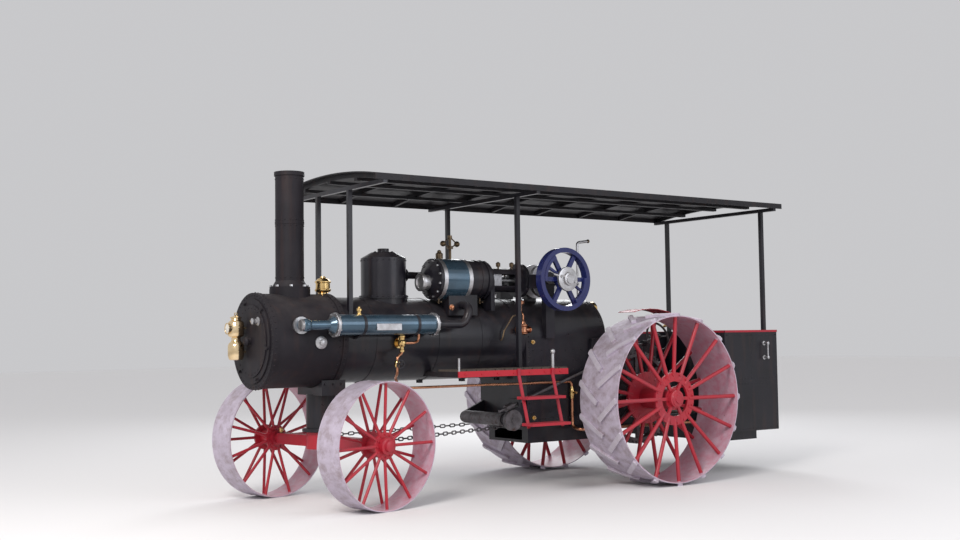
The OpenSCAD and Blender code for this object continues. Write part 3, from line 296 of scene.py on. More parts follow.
class Shape:
    """Points and faces gathered from turned parts, blocks and plates, to become one piece."""

    def __init__(self):
        self.points, self.faces = [], []

    def add(self, points, faces):
        first = len(self.points)
        self.points += [tuple(point) for point in points]
        self.faces += [tuple(first + corner for corner in face) for face in faces]

    def turned(self, place, axis, profile, steps=24, closed=False):
        """(distance along the axis, radius) pairs turned about an axis, with caps or a closed profile."""
        along, ways = around(axis, steps)
        points = [Vector(place) + along * distance + radius * way
                  for distance, radius in profile for way in ways]
        rows, faces = len(profile), []
        for row in range(rows if closed else rows - 1):
            a, b = row * steps, (row + 1) % rows * steps
            faces += [(a + i, a + (i + 1) % steps, b + (i + 1) % steps, b + i) for i in range(steps)]
        if not closed:
            faces += [tuple(range(steps))[::-1], tuple(range((rows - 1) * steps, rows * steps))]
        self.add(points, faces)

    def hoop(self, place, axis, width, inner_r, outer_r, steps):
        """A ring of rectangular section."""
        profile = [(0, inner_r), (0, outer_r), (width, outer_r), (width, inner_r)]
        self.turned(place, axis, profile, steps, closed=True)

    def ball(self, place, radius, steps=16):
        arc = [math.radians(angle) for angle in range(8, 180, 18)]
        self.turned(place, UPWARD, [(-radius * math.cos(a), radius * math.sin(a)) for a in arc], steps)

    def bar(self, start, end, radius, steps=12):
        way = Vector(end) - Vector(start)
        self.turned(start, way, [(0, radius), (way.length, radius)], steps)

    def plate(self, outline, depth):
        """A flat outline of points, made as thick as the depth vector."""
        count = len(outline)
        far = [Vector(point) + Vector(depth) for point in outline]
        sides = [(i, (i + 1) % count, (i + 1) % count + count, i + count) for i in range(count)]
        self.add(list(outline) + far, [tuple(range(count))[::-1], tuple(range(count, 2 * count))] + sides)

    def block(self, low, high):
        (x0, y0, z0), (x1, y1, z1) = low, high
        corners = ((x0, y0, z0), (x1, y0, z0), (x1, y1, z0), (x0, y1, z0))
        self.plate([Vector(corner) for corner in corners], (0, 0, z1 - z0))

    def piece(self, name, finish, body, bevel=0.0):
        """Makes the piece, whose sharp edges a bevel may round."""
        mesh = bpy.data.meshes.new(name)
        mesh.from_pydata(self.points, [], self.faces)
        work = bmesh.new()
        work.from_mesh(mesh)
        bmesh.ops.recalc_face_normals(work, faces=work.faces)
        work.to_mesh(mesh)
        work.free()
        smoothed(mesh)
        mesh.materials.append(finish)
        made = added(name, mesh)
        if bevel:
            rounding = made.modifiers.new("rounded_edges", "BEVEL")
            rounding.width, rounding.segments = bevel, 2
            rounding.limit_method, rounding.angle_limit = "ANGLE", SHARP
        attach(made, body)
        return made


def centre(node, axis):
    """The middle of a node's box along one axis."""
    low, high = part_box(node)
    return (low[axis] + high[axis]) / 2


REAR_X, boiler_z = centre("rear_axle", 0), centre("boiler_barrel", 2)
barrel_low, barrel_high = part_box("boiler_barrel")
barrel_r = (barrel_high.z - barrel_low.z) / 2


def at(x, y, z):
    """A place given ahead of the middle of the rear axle, to its left, and over the ground."""
    return Vector((REAR_X + x, y, z))


BLACK = (0.006, 0.0055, 0.008)
black_enamel = enamel("black_enamel", BLACK, (0.015, 0.014, 0.02), dust=0.2)
dress(black_enamel, "boiler_barrel")

BANDS_X, BAND_WIDTH, BAND_THICKNESS, BAND_SINK = (1.42, 1.88, 2.42, 3.16, 3.49), 0.045, 0.004, 0.002
LUG_Y, LUG_HALF, LUG_HEIGHT = 0.022, 0.006, 0.04
lug_z = boiler_z - barrel_r - 0.03
bands = Shape()
for x in BANDS_X:
    bands.hoop(at(x, 0, boiler_z), ALONG, BAND_WIDTH, barrel_r - BAND_SINK, barrel_r + BAND_THICKNESS, 64)
    for y in (-LUG_Y, LUG_Y):
        bands.block(at(x, y - LUG_HALF, lug_z), at(x + BAND_WIDTH, y + LUG_HALF, lug_z + LUG_HEIGHT))
bands.piece("barrel_bands", black_enamel, "root")


# Firebox and what is bolted to it
# A round-topped steel box of flanged plates. Rivets join the plates in rows and screwed stays hold the
# flat sides, with brass mud plugs at the corners; its rear plate carries the gauges and cocks.
NUMBER, VECTOR, WHOLE, STUFF = "NodeSocketFloat", "NodeSocketVector", "NodeSocketInt", "NodeSocketMaterial"


def growth(name, sizes):
    """A geometry tree with named inputs, and the flows that those inputs give."""
    tree = bpy.data.node_groups.new(name, "GeometryNodeTree")
    for label, kind in {"Geometry": "NodeSocketGeometry", **sizes}.items():
        tree.interface.new_socket(label, in_out="INPUT", socket_type=kind)
    tree.interface.new_socket("Geometry", in_out="OUTPUT", socket_type="NodeSocketGeometry")
    entry = tree.nodes.new("NodeGroupInput")
    return Graph(tree), {socket.name: Flow(tree, socket) for socket in entry.outputs if socket.name}


def end_growth(graph, geometry, finish):
    """Ends a geometry tree: real meshes, with their material."""
    real = graph.node("GeometryNodeRealizeInstances", inputs={0: geometry})
    dressed = graph.node("GeometryNodeSetMaterial", inputs={0: real, "Material": finish})
    graph.node("NodeGroupOutput", inputs={0: dressed})
    return graph.tree


def beads(graph, given):
    """Points along the lines, at the given pitch."""
    curve = graph.node("GeometryNodeMeshToCurve", inputs={0: given["Geometry"]})
    values = {"Curve": curve, "Length": given["Pitch"]}
    return graph.node("GeometryNodeResampleCurve", {"mode": "LENGTH"}, values)


def aimed(graph, axis):
    """The turn that points an axis of a copy the way its point faces."""
    facing = graph.node("GeometryNodeInputNamedAttribute", {"data_type": "FLOAT_VECTOR"}, {"Name": "facing"})
    return graph.node("FunctionNodeAlignRotationToVector", {"axis": axis}, {"Vector": facing})


def grown(name, lines, tree, sizes, body):
    """Runs a geometry tree on lines and keeps the plain mesh, which rides on a body if one is named. A
    line is its points, the way that things on it face, and whether it closes."""
    points, edges, facings = [], [], []
    for line, facing, closed in lines:
        first, last = len(points), len(points) + len(line) - 1
        points += [tuple(point) for point in line]
        facings += [tuple(way) for way in (facing if isinstance(facing, list) else [facing] * len(line))]
        edges += [(i, i + 1) for i in range(first, last)]
        if closed:
            edges.append((last, first))
    mesh = bpy.data.meshes.new(name + "_lines")
    mesh.from_pydata(points, edges, [])
    ways = mesh.attributes.new("facing", "FLOAT_VECTOR", "POINT")
    ways.data.foreach_set("vector", [number for way in facings for number in way])
    piece = added(name, mesh)
    modifier = piece.modifiers.new("growth", "NODES")
    modifier.node_group = tree
    for item in tree.interface.items_tree:
        if item.in_out == "INPUT" and item.name in sizes:
            modifier[item.identifier] = sizes[item.name]
    whole = bpy.data.meshes.new_from_object(piece.evaluated_get(bpy.context.evaluated_depsgraph_get()))
    whole.name = name
    smoothed(whole)
    piece.modifiers.clear()
    piece.data = whole
    if body:
        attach(piece, body)
    return piece


def heads_tree(name, spaced):
    """Heads of rivets or bolts at the points of lines, or spaced evenly along them."""
    graph, given = growth(name, {"Pitch": NUMBER, "Foot radius": NUMBER, "Top radius": NUMBER,
                                 "Height": NUMBER, "Sides": WHOLE, "Finish": STUFF})
    head = graph.node("GeometryNodeMeshCone", {"fill_type": "NGON"}, {
        "Vertices": given["Sides"], "Radius Top": given["Top radius"],
        "Radius Bottom": given["Foot radius"], "Depth": given["Height"]})
    values = {"Points": beads(graph, given) if spaced else given["Geometry"], "Instance": head,
              "Rotation": aimed(graph, "Z")}
    return end_growth(graph, graph.node("GeometryNodeInstanceOnPoints", inputs=values), given["Finish"])


rows_of_heads = heads_tree("rows_of_heads", spaced=True)
single_heads = heads_tree("single_heads", spaced=False)


def rivets(name, lines, finish, body, radius=0.010, height=0.006, pitch=0.0, sides=8, taper=0.55):
    """Rivets along lines at a pitch, or one at each point where there is no pitch."""
    sizes = {"Pitch": pitch, "Foot radius": radius, "Top radius": radius * taper, "Height": height,
             "Sides": sides, "Finish": finish}
    return grown(name, lines, rows_of_heads if pitch else single_heads, sizes, body)


def bolts(name, lines, finish, body, radius=0.012, height=0.010):
    """Hexagonal heads, one at each point of the lines."""
    return rivets(name, lines, finish, body, radius, height, 0.0, 6, 0.92)


def circle(middle, axis, radius, steps=32, start=0.0):
    """A closed line about an axis, on which heads face outward."""
    ways = around(axis, steps, start)[1]
    return [Vector(middle) + radius * way for way in ways], ways, True


def face_circle(middle, axis, radius, steps=32, start=0.0):
    """A closed line about an axis, on which heads face along it."""
    return circle(middle, axis, radius, steps, start)[0], Vector(axis).normalized(), True


def straight(start, end, way):
    """A straight line, on which heads face one way."""
    return [start, end], way, False


def single(places, way):
    """A line of one point for each place."""
    return [([place], way, False) for place in places]


graph, given = growth("pipes", {"Radius": NUMBER, "Bend": NUMBER, "Sides": WHOLE, "Finish": STUFF})
curve = graph.node("GeometryNodeMeshToCurve", inputs={0: given["Geometry"]})
bent = graph.node("GeometryNodeFilletCurve", {"mode": "POLY"},
                  {"Curve": curve, "Count": 5, "Radius": given["Bend"], "Limit Radius": True})
ring = graph.node("GeometryNodeCurvePrimitiveCircle",
                  inputs={"Resolution": given["Sides"], "Radius": given["Radius"]})
tube = graph.node("GeometryNodeCurveToMesh", inputs={"Curve": bent, "Profile Curve": ring, "Fill Caps": True})
pipe_growth = end_growth(graph, tube, given["Finish"])


def pipes(name, runs, finish, body, radius, bend=0.05, sides=12):
    """Round pipes with bends, through the points of each run."""
    sizes = {"Radius": radius, "Bend": bend, "Sides": sides, "Finish": finish}
    return grown(name, [(run, UPWARD, False) for run in runs], pipe_growth, sizes, body)


def bare_metal(name, colour, dark, gloss=0.35, metallic=0.9, rusty=0.62, rust=RUST):
    """Bare metal: machined or worn bright, darker in patches, with rust in the pits."""
    metal = Finish(name, metallic=metallic)
    patches = metal.mix(metal.noise(0.09, 6, 0.65).over(0.52, 0.4), colour, dark)
    pits = metal.noise(0.05, 8, 0.7, seed=2.2).over(rusty, 0.12)
    rough = (metal.noise(0.06, 6, 0.6, seed=4.4) * 0.3 + gloss - 0.12 + pits * 0.4).clip()
    bump = metal.noise(0.008, 5, 0.6) - pits
    return metal.finish(metal.mix(pits, patches, rust), rough, bump, depth=0.0008, strength=0.4)


TARNISH, VERDIGRIS = (0.2, 0.12, 0.06), (0.1, 0.13, 0.1)
brass = bare_metal("brass", (0.78, 0.56, 0.25), (0.5, 0.33, 0.13), gloss=0.2, metallic=1.0, rusty=0.74,
                   rust=TARNISH)
copper = bare_metal("copper", (0.62, 0.3, 0.17), (0.3, 0.13, 0.08), gloss=0.26, metallic=1.0, rusty=0.72,
                    rust=VERDIGRIS)
bright_steel = bare_metal("bright_steel", (0.55, 0.55, 0.57), (0.3, 0.29, 0.29), rusty=0.7)
dress(black_enamel, "firebox", "ash_pan", "fire_door")

firebox_low, firebox_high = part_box("firebox")
fb_front, fb_side = firebox_high.x, firebox_high.y
fb_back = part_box("ash_pan")[0].x - 0.04
SEAM_IN, SEAM_Z0, ROW_GAP, ARCH_STEPS = 0.038, firebox_low.z + 0.04, 0.045, 20


def firebox_seam(x, facing=None, inset=0.0):
    """A line up one side of the firebox, over its round top and down the other side."""
    arc = [math.pi * step / ARCH_STEPS for step in range(ARCH_STEPS + 1)]
    ways = [Vector((0, math.cos(a), math.sin(a))) for a in arc]
    reach = fb_side - inset
    arch = [Vector((x, 0, boiler_z)) + reach * way for way in ways]
    points = [Vector((x, reach, SEAM_Z0)), *arch, Vector((x, -reach, SEAM_Z0))]
    return points, facing or [ACROSS, *ways, -ACROSS], False


seams = [firebox_seam(fb_front - SEAM_IN), firebox_seam(fb_back + SEAM_IN),
         firebox_seam(fb_back, -ALONG, SEAM_IN)]
for side in (-1, 1):
    for z in (SEAM_Z0, SEAM_Z0 + ROW_GAP):
        y = side * fb_side
        seams.append(straight((fb_back + SEAM_IN, y, z), (fb_front - SEAM_IN, y, z), side * ACROSS))
rivets("firebox_rivets", seams, black_enamel, "root", 0.011, 0.007, pitch=0.055)

STAY_PITCH, STAY_X0, STAY_Z0, STAY_ROWS = 0.112, 0.58, 0.80, 7
stays = []
for side in (-1, 1):
    stays += single([at(STAY_X0 + column * STAY_PITCH, side * fb_side, STAY_Z0 + row * STAY_PITCH)
                     for column in range(STAY_ROWS) for row in range(STAY_ROWS)], side * ACROSS)
rivets("firebox_stays", stays, black_enamel, "root", 0.012, 0.005, taper=0.8)

PLUG_PLACES, SQUARE_HALF, SQUARE_LENGTH = ((0.50, 0.745), (1.26, 0.745), (1.26, 1.56)), 0.011, 0.03
plugs = Shape()
for side in (-1, 1):
    for x, z in PLUG_PLACES:
        plugs.turned(at(x, side * (fb_side - 0.004), z), side * ACROSS, [(0, 0.026), (0.012, 0.024)], 20)
        y0, y1 = sorted((side * fb_side, side * (fb_side + SQUARE_LENGTH)))
        plugs.block(at(x - SQUARE_HALF, y0, z - SQUARE_HALF), at(x + SQUARE_HALF, y1, z + SQUARE_HALF))
plugs.piece("mud_plugs", brass, "root", 0.001)


# The rear plate's pressure gauge, water glass with its cocks, three try cocks and steam valve
def behind(depth, y, z):
    """A place behind the firebox's rear plate."""
    return Vector((fb_back - depth, y, z))


GAUGE_Y, GLASS_Y, COCK_Y, VALVE_Y, ROOT = 0.10, -0.20, -0.30, 0.27, -0.01
GLASS_ENDS_Z, TRY_COCKS_Z = (1.52, 1.80), (1.48, 1.58, 1.68)
backhead = Shape()
gauge = behind(0.06, GAUGE_Y, 1.93)
backhead.turned(gauge, -ALONG, [(0, 0.078), (0.03, 0.082), (0.045, 0.080), (0.045, 0.068), (0.04, 0.066)], 32)
backhead.bar(behind(ROOT, GAUGE_Y, 1.85), behind(0.075, GAUGE_Y, 1.85), 0.011)
backhead.bar(behind(0.07, GAUGE_Y, 1.845), behind(0.07, GAUGE_Y, 1.87), 0.011)
for z in GLASS_ENDS_Z:
    backhead.bar(behind(ROOT, GLASS_Y, z), behind(0.10, GLASS_Y, z), 0.013)
    backhead.turned(behind(0.075, GLASS_Y, z - 0.035), UPWARD, [(0, 0.018), (0.035, 0.024), (0.07, 0.018)])
for z in TRY_COCKS_Z:
    backhead.bar(behind(ROOT, COCK_Y, z), behind(0.08, COCK_Y, z), 0.010)
    backhead.bar(behind(0.065, COCK_Y, z + 0.02), behind(0.065, COCK_Y, z - 0.045), 0.007)
    backhead.bar(behind(0.05, COCK_Y - 0.04, z), behind(0.05, COCK_Y + 0.04, z), 0.006)
backhead.turned(behind(ROOT, VALVE_Y, 1.70), -ALONG, [(0, 0.04), (0.02, 0.04), (0.02, 0.026), (0.10, 0.026)])
backhead.piece("backhead_fittings", brass, "root")

# Old glass, painted pale as its reflection, with dirt at the edges; the gauge's dial under it is white
pane = Finish("dial_white", coat=1.0)
dirt = pane.noise(0.02, 5, 0.6).over(0.55, 0.3)
dial_white = pane.finish(pane.mix(dirt * 0.6, (0.72, 0.7, 0.64), (0.12, 0.1, 0.08)), dirt * 0.3 + 0.12)
dial = Shape()
dial.turned(gauge - 0.039 * ALONG, -ALONG, [(0, 0.067), (0.003, 0.066)], 32)
dial.bar(behind(0.075, GLASS_Y, 1.55), behind(0.075, GLASS_Y, 1.77), 0.009)
dial.piece("gauge_dial_and_water_glass", dial_white, "root")
MARKS, FIRST_MARK, MARK_SPAN, MARK_HALF, MARK_R0, MARK_R1 = 13, -40, 260, 0.0015, 0.05, 0.06
needle = Shape()
needle.plate([gauge + Vector((-0.043, y, z)) for y, z in ((-0.004, -0.012), (0.004, -0.012), (0.03, 0.045))],
             (-0.002, 0, 0))
for step in range(MARKS):
    angle = math.radians(FIRST_MARK + step * MARK_SPAN / (MARKS - 1))
    out = Vector((0, math.cos(angle), math.sin(angle)))
    across = Vector((0, -out.z, out.y)) * MARK_HALF
    inner, outer = [gauge - 0.0425 * ALONG + reach * out for reach in (MARK_R0, MARK_R1)]
    needle.plate([inner - across, inner + across, outer + across, outer - across], (-0.001, 0, 0))
needle.piece("gauge_needle_and_marks", black_enamel, "root")


# Smokebox and its door
# Rolled plate at the front of the boiler, with a dished door on two strap hinges. Rivets hold its
# end rings; heat and soot have left its black dull and brown.
def turning(name, finish, body, place, axis, profile, steps=24):
    """A piece that is one turned part."""
    part = Shape()
    part.turned(place, axis, profile, steps)
    return part.piece(name, finish, body)


soot_black = enamel("soot_black", (0.007, 0.006, 0.009), (0.018, 0.015, 0.019), gloss=0.55, dust=0.2,
                    chips=0.72, coat=0.0, specular=0.22)
dress(soot_black, "smokebox", "smokebox_door")
smoke_back, smoke_front = barrel_high.x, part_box("smokebox_door")[0].x
ring_r = boiler_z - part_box("smokebox")[0].z
rings = [circle((x, 0, boiler_z), ALONG, ring_r) for x in (smoke_back + 0.03, smoke_front - 0.032)]
rings.append(face_circle((smoke_front - 0.001, 0, boiler_z), ALONG, ring_r - 0.022))
rings.append(circle((smoke_back + 0.09, 0, boiler_z), ALONG, ring_r - 0.008))
rivets("smokebox_rivets", rings, soot_black, "root", 0.011, 0.007, pitch=0.062)

DOOR_RIVETS_R, BOSS_X, LATCH_Y, LATCH_Z, PLUG_X, PLUG_DROP = 0.325, 0.052, 0.185, 1.80, 3.84, 0.02
door_face = smoke_front + 0.024
door_rows = [face_circle((door_face - 0.001, 0, boiler_z), ALONG, DOOR_RIVETS_R)]
rivets("door_rivets", door_rows, soot_black, "smokebox_door", 0.009, 0.006, pitch=0.075)
turning("door_boss", soot_black, "smokebox_door", (smoke_front + BOSS_X, 0, boiler_z), ALONG,
        [(0, 0.042), (0.014, 0.042), (0.02, 0.034), (0.03, 0.03), (0.036, 0.02)])
turning("door_latch_knob", bright_steel, "smokebox_door", (door_face - 0.004, LATCH_Y, LATCH_Z), ALONG,
        [(0, 0.042), (0.01, 0.042), (0.016, 0.026), (0.04, 0.022), (0.05, 0.03), (0.068, 0.03),
         (0.078, 0.016)])
plug_y = math.sqrt((ring_r - 0.008) ** 2 - PLUG_DROP ** 2)
turning("smokebox_plug", bright_steel, "root", at(PLUG_X, plug_y - 0.012, boiler_z - PLUG_DROP), ACROSS,
        [(0, 0.062), (0.02, 0.062), (0.026, 0.05), (0.03, 0.028), (0.055, 0.026), (0.06, 0.018)], 28)


# Chimney
# A stack of rolled and riveted plate on a flared cast foot, bolted to the smokebox, with a rolled lip
# and a band over its joint. It is the sootiest piece.
dress(soot_black, "chimney")
stack_low, stack_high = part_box("chimney")
stack_x = centre("chimney", 0)
STACK_R, FOOT_BOLTS_R, LIP_H = 0.14, 0.186, 0.04
stack_foot, lip_z = stack_low.z + 0.084, stack_high.z - LIP_H
stack_rows = [circle((stack_x, 0, z), UPWARD, STACK_R, 24)
              for z in (stack_foot + 0.03, 2.74, 2.80, lip_z - 0.03)]
stack_rows.append(straight((stack_x, -STACK_R, stack_foot + 0.05), (stack_x, -STACK_R, lip_z - 0.05),
                           -ACROSS))
rivets("chimney_rivets", stack_rows, soot_black, "root", 0.008, 0.005, pitch=0.055)
joint = Shape()
joint.hoop((stack_x, 0, 2.755), UPWARD, 0.03, STACK_R - 0.002, STACK_R + 0.004, 40)
joint.piece("chimney_joint_band", soot_black, "root")
foot_spots = face_circle((stack_x, 0, stack_low.z + 0.024), UPWARD, FOOT_BOLTS_R, 8, start=0.4)
bolts("chimney_foot_bolts", [foot_spots], bright_steel, "root", 0.017, 0.018)


# Dome and safety valve
# The steam dome is a riveted drum with a bolted cap, from which a flanged pipe leads to the steam chest.
# A polished brass safety valve stands between the barrel and the smokebox.
dress(black_enamel, "steam_dome")
dome_x = centre("steam_dome", 0)
DOME_R, CAP_H, CAP_BOLTS_R = 0.235, 0.04, 0.095
dome_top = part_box("steam_dome")[1].z - CAP_H
dome_rows = [circle((dome_x, 0, boiler_z + barrel_r + 0.012), UPWARD, DOME_R + 0.016),
             circle((dome_x, 0, dome_top - 0.085), UPWARD, DOME_R)]
rivets("dome_rivets", dome_rows, black_enamel, "root", 0.010, 0.006, pitch=0.06)
cap_spots = face_circle((dome_x, 0, dome_top), UPWARD, CAP_BOLTS_R, 8)
bolts("dome_cap_bolts", [cap_spots], black_enamel, "root", 0.012, 0.012)

valve_low, valve_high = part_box("safety_valve")
VALVE_R = (valve_high.x - valve_low.x) / 2
valve_foot = (centre("safety_valve", 0), 0, boiler_z + barrel_r + 0.005)
valve_piece = turning("safety_valve_brass", brass, "root", valve_foot, UPWARD, [
    (0, 0.07), (0.022, 0.07), (0.026, 0.048), (0.04, 0.046), (0.052, 0.074), (0.062, VALVE_R),
    (0.075, VALVE_R), (0.08, 0.074), (0.135, 0.072), (0.142, VALVE_R), (0.155, VALVE_R),
    (0.163, 0.070), (0.18, 0.055), (0.19, 0.03), (0.205, 0.026)], 32)
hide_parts("safety_valve")

# Steam pipe from the dome to the chest, with its flanges
CHEST_FRONT, STEAM_Z, PIPE_R, PIPE_FLANGE_R, PIPE_BOLTS_R = REAR_X + 2.345, 2.28, 0.038, 0.068, 0.054
steam_pipe = Shape()
steam_pipe.bar((CHEST_FRONT - 0.01, 0, STEAM_Z), (dome_x - DOME_R + 0.02, 0, STEAM_Z), PIPE_R, 20)
for x in (CHEST_FRONT, dome_x - DOME_R - 0.03):
    steam_pipe.bar((x - 0.002, 0, STEAM_Z), (x + 0.022, 0, STEAM_Z), PIPE_FLANGE_R, 24)
steam_pipe.piece("steam_pipe", black_enamel, "root")
flange_spots = face_circle((CHEST_FRONT + 0.022, 0, STEAM_Z), ALONG, PIPE_BOLTS_R, 6)
bolts("steam_pipe_bolts", [flange_spots], bright_steel, "root", 0.008, 0.008)


# Feed-water heater and its pipes
# A tube of blued sheet iron beside the barrel, between the exhaust from the cylinder and the smokebox.
# Its flanges are bolted; brass valves and copper pipes bring the feed water.
sheet = Finish("blue_iron", metallic=0.55, coat=0.5)
IRON_BLUE, STAINED_BLUE = (0.050, 0.105, 0.155), (0.03, 0.058, 0.085)
stained = sheet.mix(sheet.noise(0.25, 6, 0.6).over(0.5, 0.45), IRON_BLUE, STAINED_BLUE)
pitted = sheet.noise(0.04, 8, 0.7, seed=2.9).over(0.7, 0.05)
dusty = sheet.lying_dust() * 0.22
dusted = sheet.mix(dusty, sheet.mix(pitted, stained, RUST), DUST)
rough = sheet.noise(0.1, 5, 0.6, seed=1.1) * 0.2 + 0.12 + pitted * 0.4 + dusty
dents = sheet.noise(0.35, 2) - pitted * 0.4
blue_iron = sheet.finish(dusted, rough.clip(), dents, depth=0.003, strength=0.35)

HEATER_Z, HEATER_Y, HEATER_R, FLANGE_R, FLANGE_T = 1.755, 0.56, 0.10, 0.118, 0.03
HEATER_LENGTH, NOZZLE_R, NOZZLE_LENGTH, ELBOW_R, ELBOW_IN_Y = 1.15, 0.045, 0.29, 0.062, 0.42
heater_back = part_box("feed_heater")[0].x
heater_front = heater_back + HEATER_LENGTH
nozzle_end = heater_front + NOZZLE_LENGTH
heater = Shape()
heater.turned((heater_back, HEATER_Y, HEATER_Z), ALONG,
              [(0.004, HEATER_R), (heater_front - heater_back - 0.004, HEATER_R)], 48)
heater.turned((heater_front - 0.01, HEATER_Y, HEATER_Z), ALONG,
              [(0, 0.09), (0.05, 0.055), (0.06, NOZZLE_R), (0.29, NOZZLE_R)], 32)
heater.ball((nozzle_end, HEATER_Y, HEATER_Z), ELBOW_R, 28)
heater.bar((nozzle_end, HEATER_Y, HEATER_Z), (nozzle_end, ELBOW_IN_Y, HEATER_Z), NOZZLE_R + 0.006, 28)
heater_piece = heater.piece("feed_heater_sheet", blue_iron, "root")
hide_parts("feed_heater")

heater_ends = Shape()
for x in (heater_back, heater_front - FLANGE_T):
    heater_ends.turned((x, HEATER_Y, HEATER_Z), ALONG, [
        (0, HEATER_R - 0.02), (0, FLANGE_R - 0.003), (0.003, FLANGE_R), (FLANGE_T - 0.003, FLANGE_R),
        (FLANGE_T, FLANGE_R - 0.003), (FLANGE_T, HEATER_R - 0.02)], 48, closed=True)
heater_ends.bar((nozzle_end, 0.445, HEATER_Z), (nozzle_end, 0.47, HEATER_Z), 0.082, 32)
heater_ends.turned((nozzle_end + 0.035, HEATER_Y, HEATER_Z), ALONG,
                   [(0, 0.055), (0.02, 0.055), (0.026, 0.045)], 28)
heater_ends.piece("heater_flanges", bright_steel, "root")

BRACKET_WIDTH = 0.03
bracket_outline = ((0.38, 1.60), (0.44, 1.62), (0.60, 1.662), (0.60, 1.676), (0.52, 1.69), (0.40, 1.74),
                   (0.36, 1.76))
brackets = Shape()
for x in (heater_back + 0.22, heater_back + 0.83):
    brackets.plate([(x, y, z) for y, z in bracket_outline], (BRACKET_WIDTH, 0, 0))
    brackets.hoop((x, HEATER_Y, HEATER_Z), ALONG, BRACKET_WIDTH, HEATER_R - 0.002, HEATER_R + 0.004, 48)
brackets.piece("heater_brackets", black_enamel, "root")
heater_spots = [face_circle((x, HEATER_Y, HEATER_Z), way, FLANGE_R - 0.0085, 10)
                for x, way in ((heater_back, -ALONG), (heater_back + FLANGE_T, ALONG),
                               (heater_front - FLANGE_T, -ALONG), (heater_front, ALONG))]
bolts("heater_bolts", heater_spots, bright_steel, "root", 0.0075, 0.008)
blank_corners = ((-0.70, 1.700), (-0.42, 1.700), (-0.42, 1.765), (-0.70, 1.765))
blank_y = HEATER_Y + HEATER_R - 0.012
blank = Shape()
blank.plate([(heater_front + x, blank_y, z) for x, z in blank_corners], (0, 0.02, 0))
blank.piece("blank_plate", bright_steel, "root", 0.002)


# Brass valves of the feed: one on top of the heater, a check valve at the barrel and a stop valve below
def pitched(angle):
    """Straight ahead, turned upward by an angle."""
    return Vector((math.cos(angle), 0, math.sin(angle)))


check, stop, injector = at(2.96, 0.50, 1.573), at(3.03, 0.52, 1.366), at(0.75, 0.49, 1.0)
fittings = Shape()
fittings.turned((heater_front - 0.28, HEATER_Y, HEATER_Z + HEATER_R - 0.01), UPWARD, [
    (0, 0.03), (0.015, 0.03), (0.018, 0.02), (0.04, 0.02), (0.045, 0.03), (0.065, 0.03), (0.07, 0.014),
    (0.085, 0.012)])
fittings.bar(check - 0.09 * ACROSS, check, 0.03, 16)
fittings.bar(check - 0.078 * ACROSS, check - 0.062 * ACROSS, 0.052, 20)
fittings.ball(check, 0.044)
fittings.turned(check - 0.02 * UPWARD, UPWARD,
                [(0, 0.03), (0.075, 0.03), (0.08, 0.036), (0.092, 0.036), (0.1, 0.012)])
fittings.turned(check - 0.09 * UPWARD, UPWARD, [(0, 0.026), (0.02, 0.026), (0.025, 0.02), (0.07, 0.02)])
fittings.turned(stop - Vector((0, 0, 0.03)), UPWARD, [(0, 0.02), (0.012, 0.028), (0.05, 0.028), (0.06, 0.02)])
stop_wheel = Shape()
stop_wheel.bar(stop, stop + 0.075 * ACROSS, 0.010)
stop_wheel.hoop(stop + 0.065 * ACROSS, ACROSS, 0.01, 0.034, 0.046, 24)
for angle in (30, 90, 150):
    spoke = 0.04 * pitched(math.radians(angle))
    stop_wheel.bar(stop + 0.07 * ACROSS - spoke, stop + 0.07 * ACROSS + spoke, 0.005, 8)
stop_wheel.piece("stop_valve_wheel", black_enamel, "root")
fittings.piece("feed_valves", brass, "root")

# The feed pipe runs inward above the front wheel, so that the wheel clears it when it steers
FEED_Y, INNER_FEED_Y, FEED_Z = 0.462, 0.40, 1.12
feed_runs = [
    [check - 0.08 * UPWARD, (check.x, check.y, 1.47), (stop.x, stop.y, 1.43), stop + 0.03 * UPWARD],
    [stop - 0.03 * UPWARD, (stop.x, stop.y, 1.27), at(2.98, INNER_FEED_Y, 1.22),
     at(2.93, INNER_FEED_Y, FEED_Z), at(1.80, INNER_FEED_Y, FEED_Z), at(1.62, FEED_Y, FEED_Z),
     (injector.x, FEED_Y, FEED_Z), (injector.x, FEED_Y, 1.06)],
    [at(2.80, HEATER_Y, HEATER_Z - 0.09), at(2.80, HEATER_Y, 1.60), at(2.80, 0.50, 1.573), check],
]
pipes("feed_pipes", feed_runs, copper, "root", 0.014, 0.045)
exhaust_start = at(2.16, 0.36, 1.96)
exhaust = [exhaust_start, (exhaust_start.x, HEATER_Y, 1.94), at(2.24, HEATER_Y, HEATER_Z),
           (heater_back + 0.01, HEATER_Y, HEATER_Z)]
pipes("exhaust_pipe", [exhaust], black_enamel, "root", 0.042, 0.11, 20)
body_of_injector = Shape()
body_of_injector.turned(injector - 0.07 * UPWARD - 0.03 * ACROSS, UPWARD, [
    (0, 0.018), (0.02, 0.026), (0.05, 0.03), (0.1, 0.026), (0.12, 0.018), (0.14, 0.018)])
body_of_injector.bar(injector - 0.028 * ACROSS, injector + 0.05 * ACROSS, 0.012)
body_of_injector.piece("injector", brass, "root")
WATER_Y, WATER_Z = 0.60, 0.60
water_run = [(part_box("tank")[1].x - 0.01, WATER_Y, WATER_Z), (injector.x, WATER_Y, WATER_Z),
             (injector.x, FEED_Y, 0.62), (injector.x, FEED_Y, 0.95)]
pipes("water_pipe", [water_run], copper, "root", 0.018, 0.06)
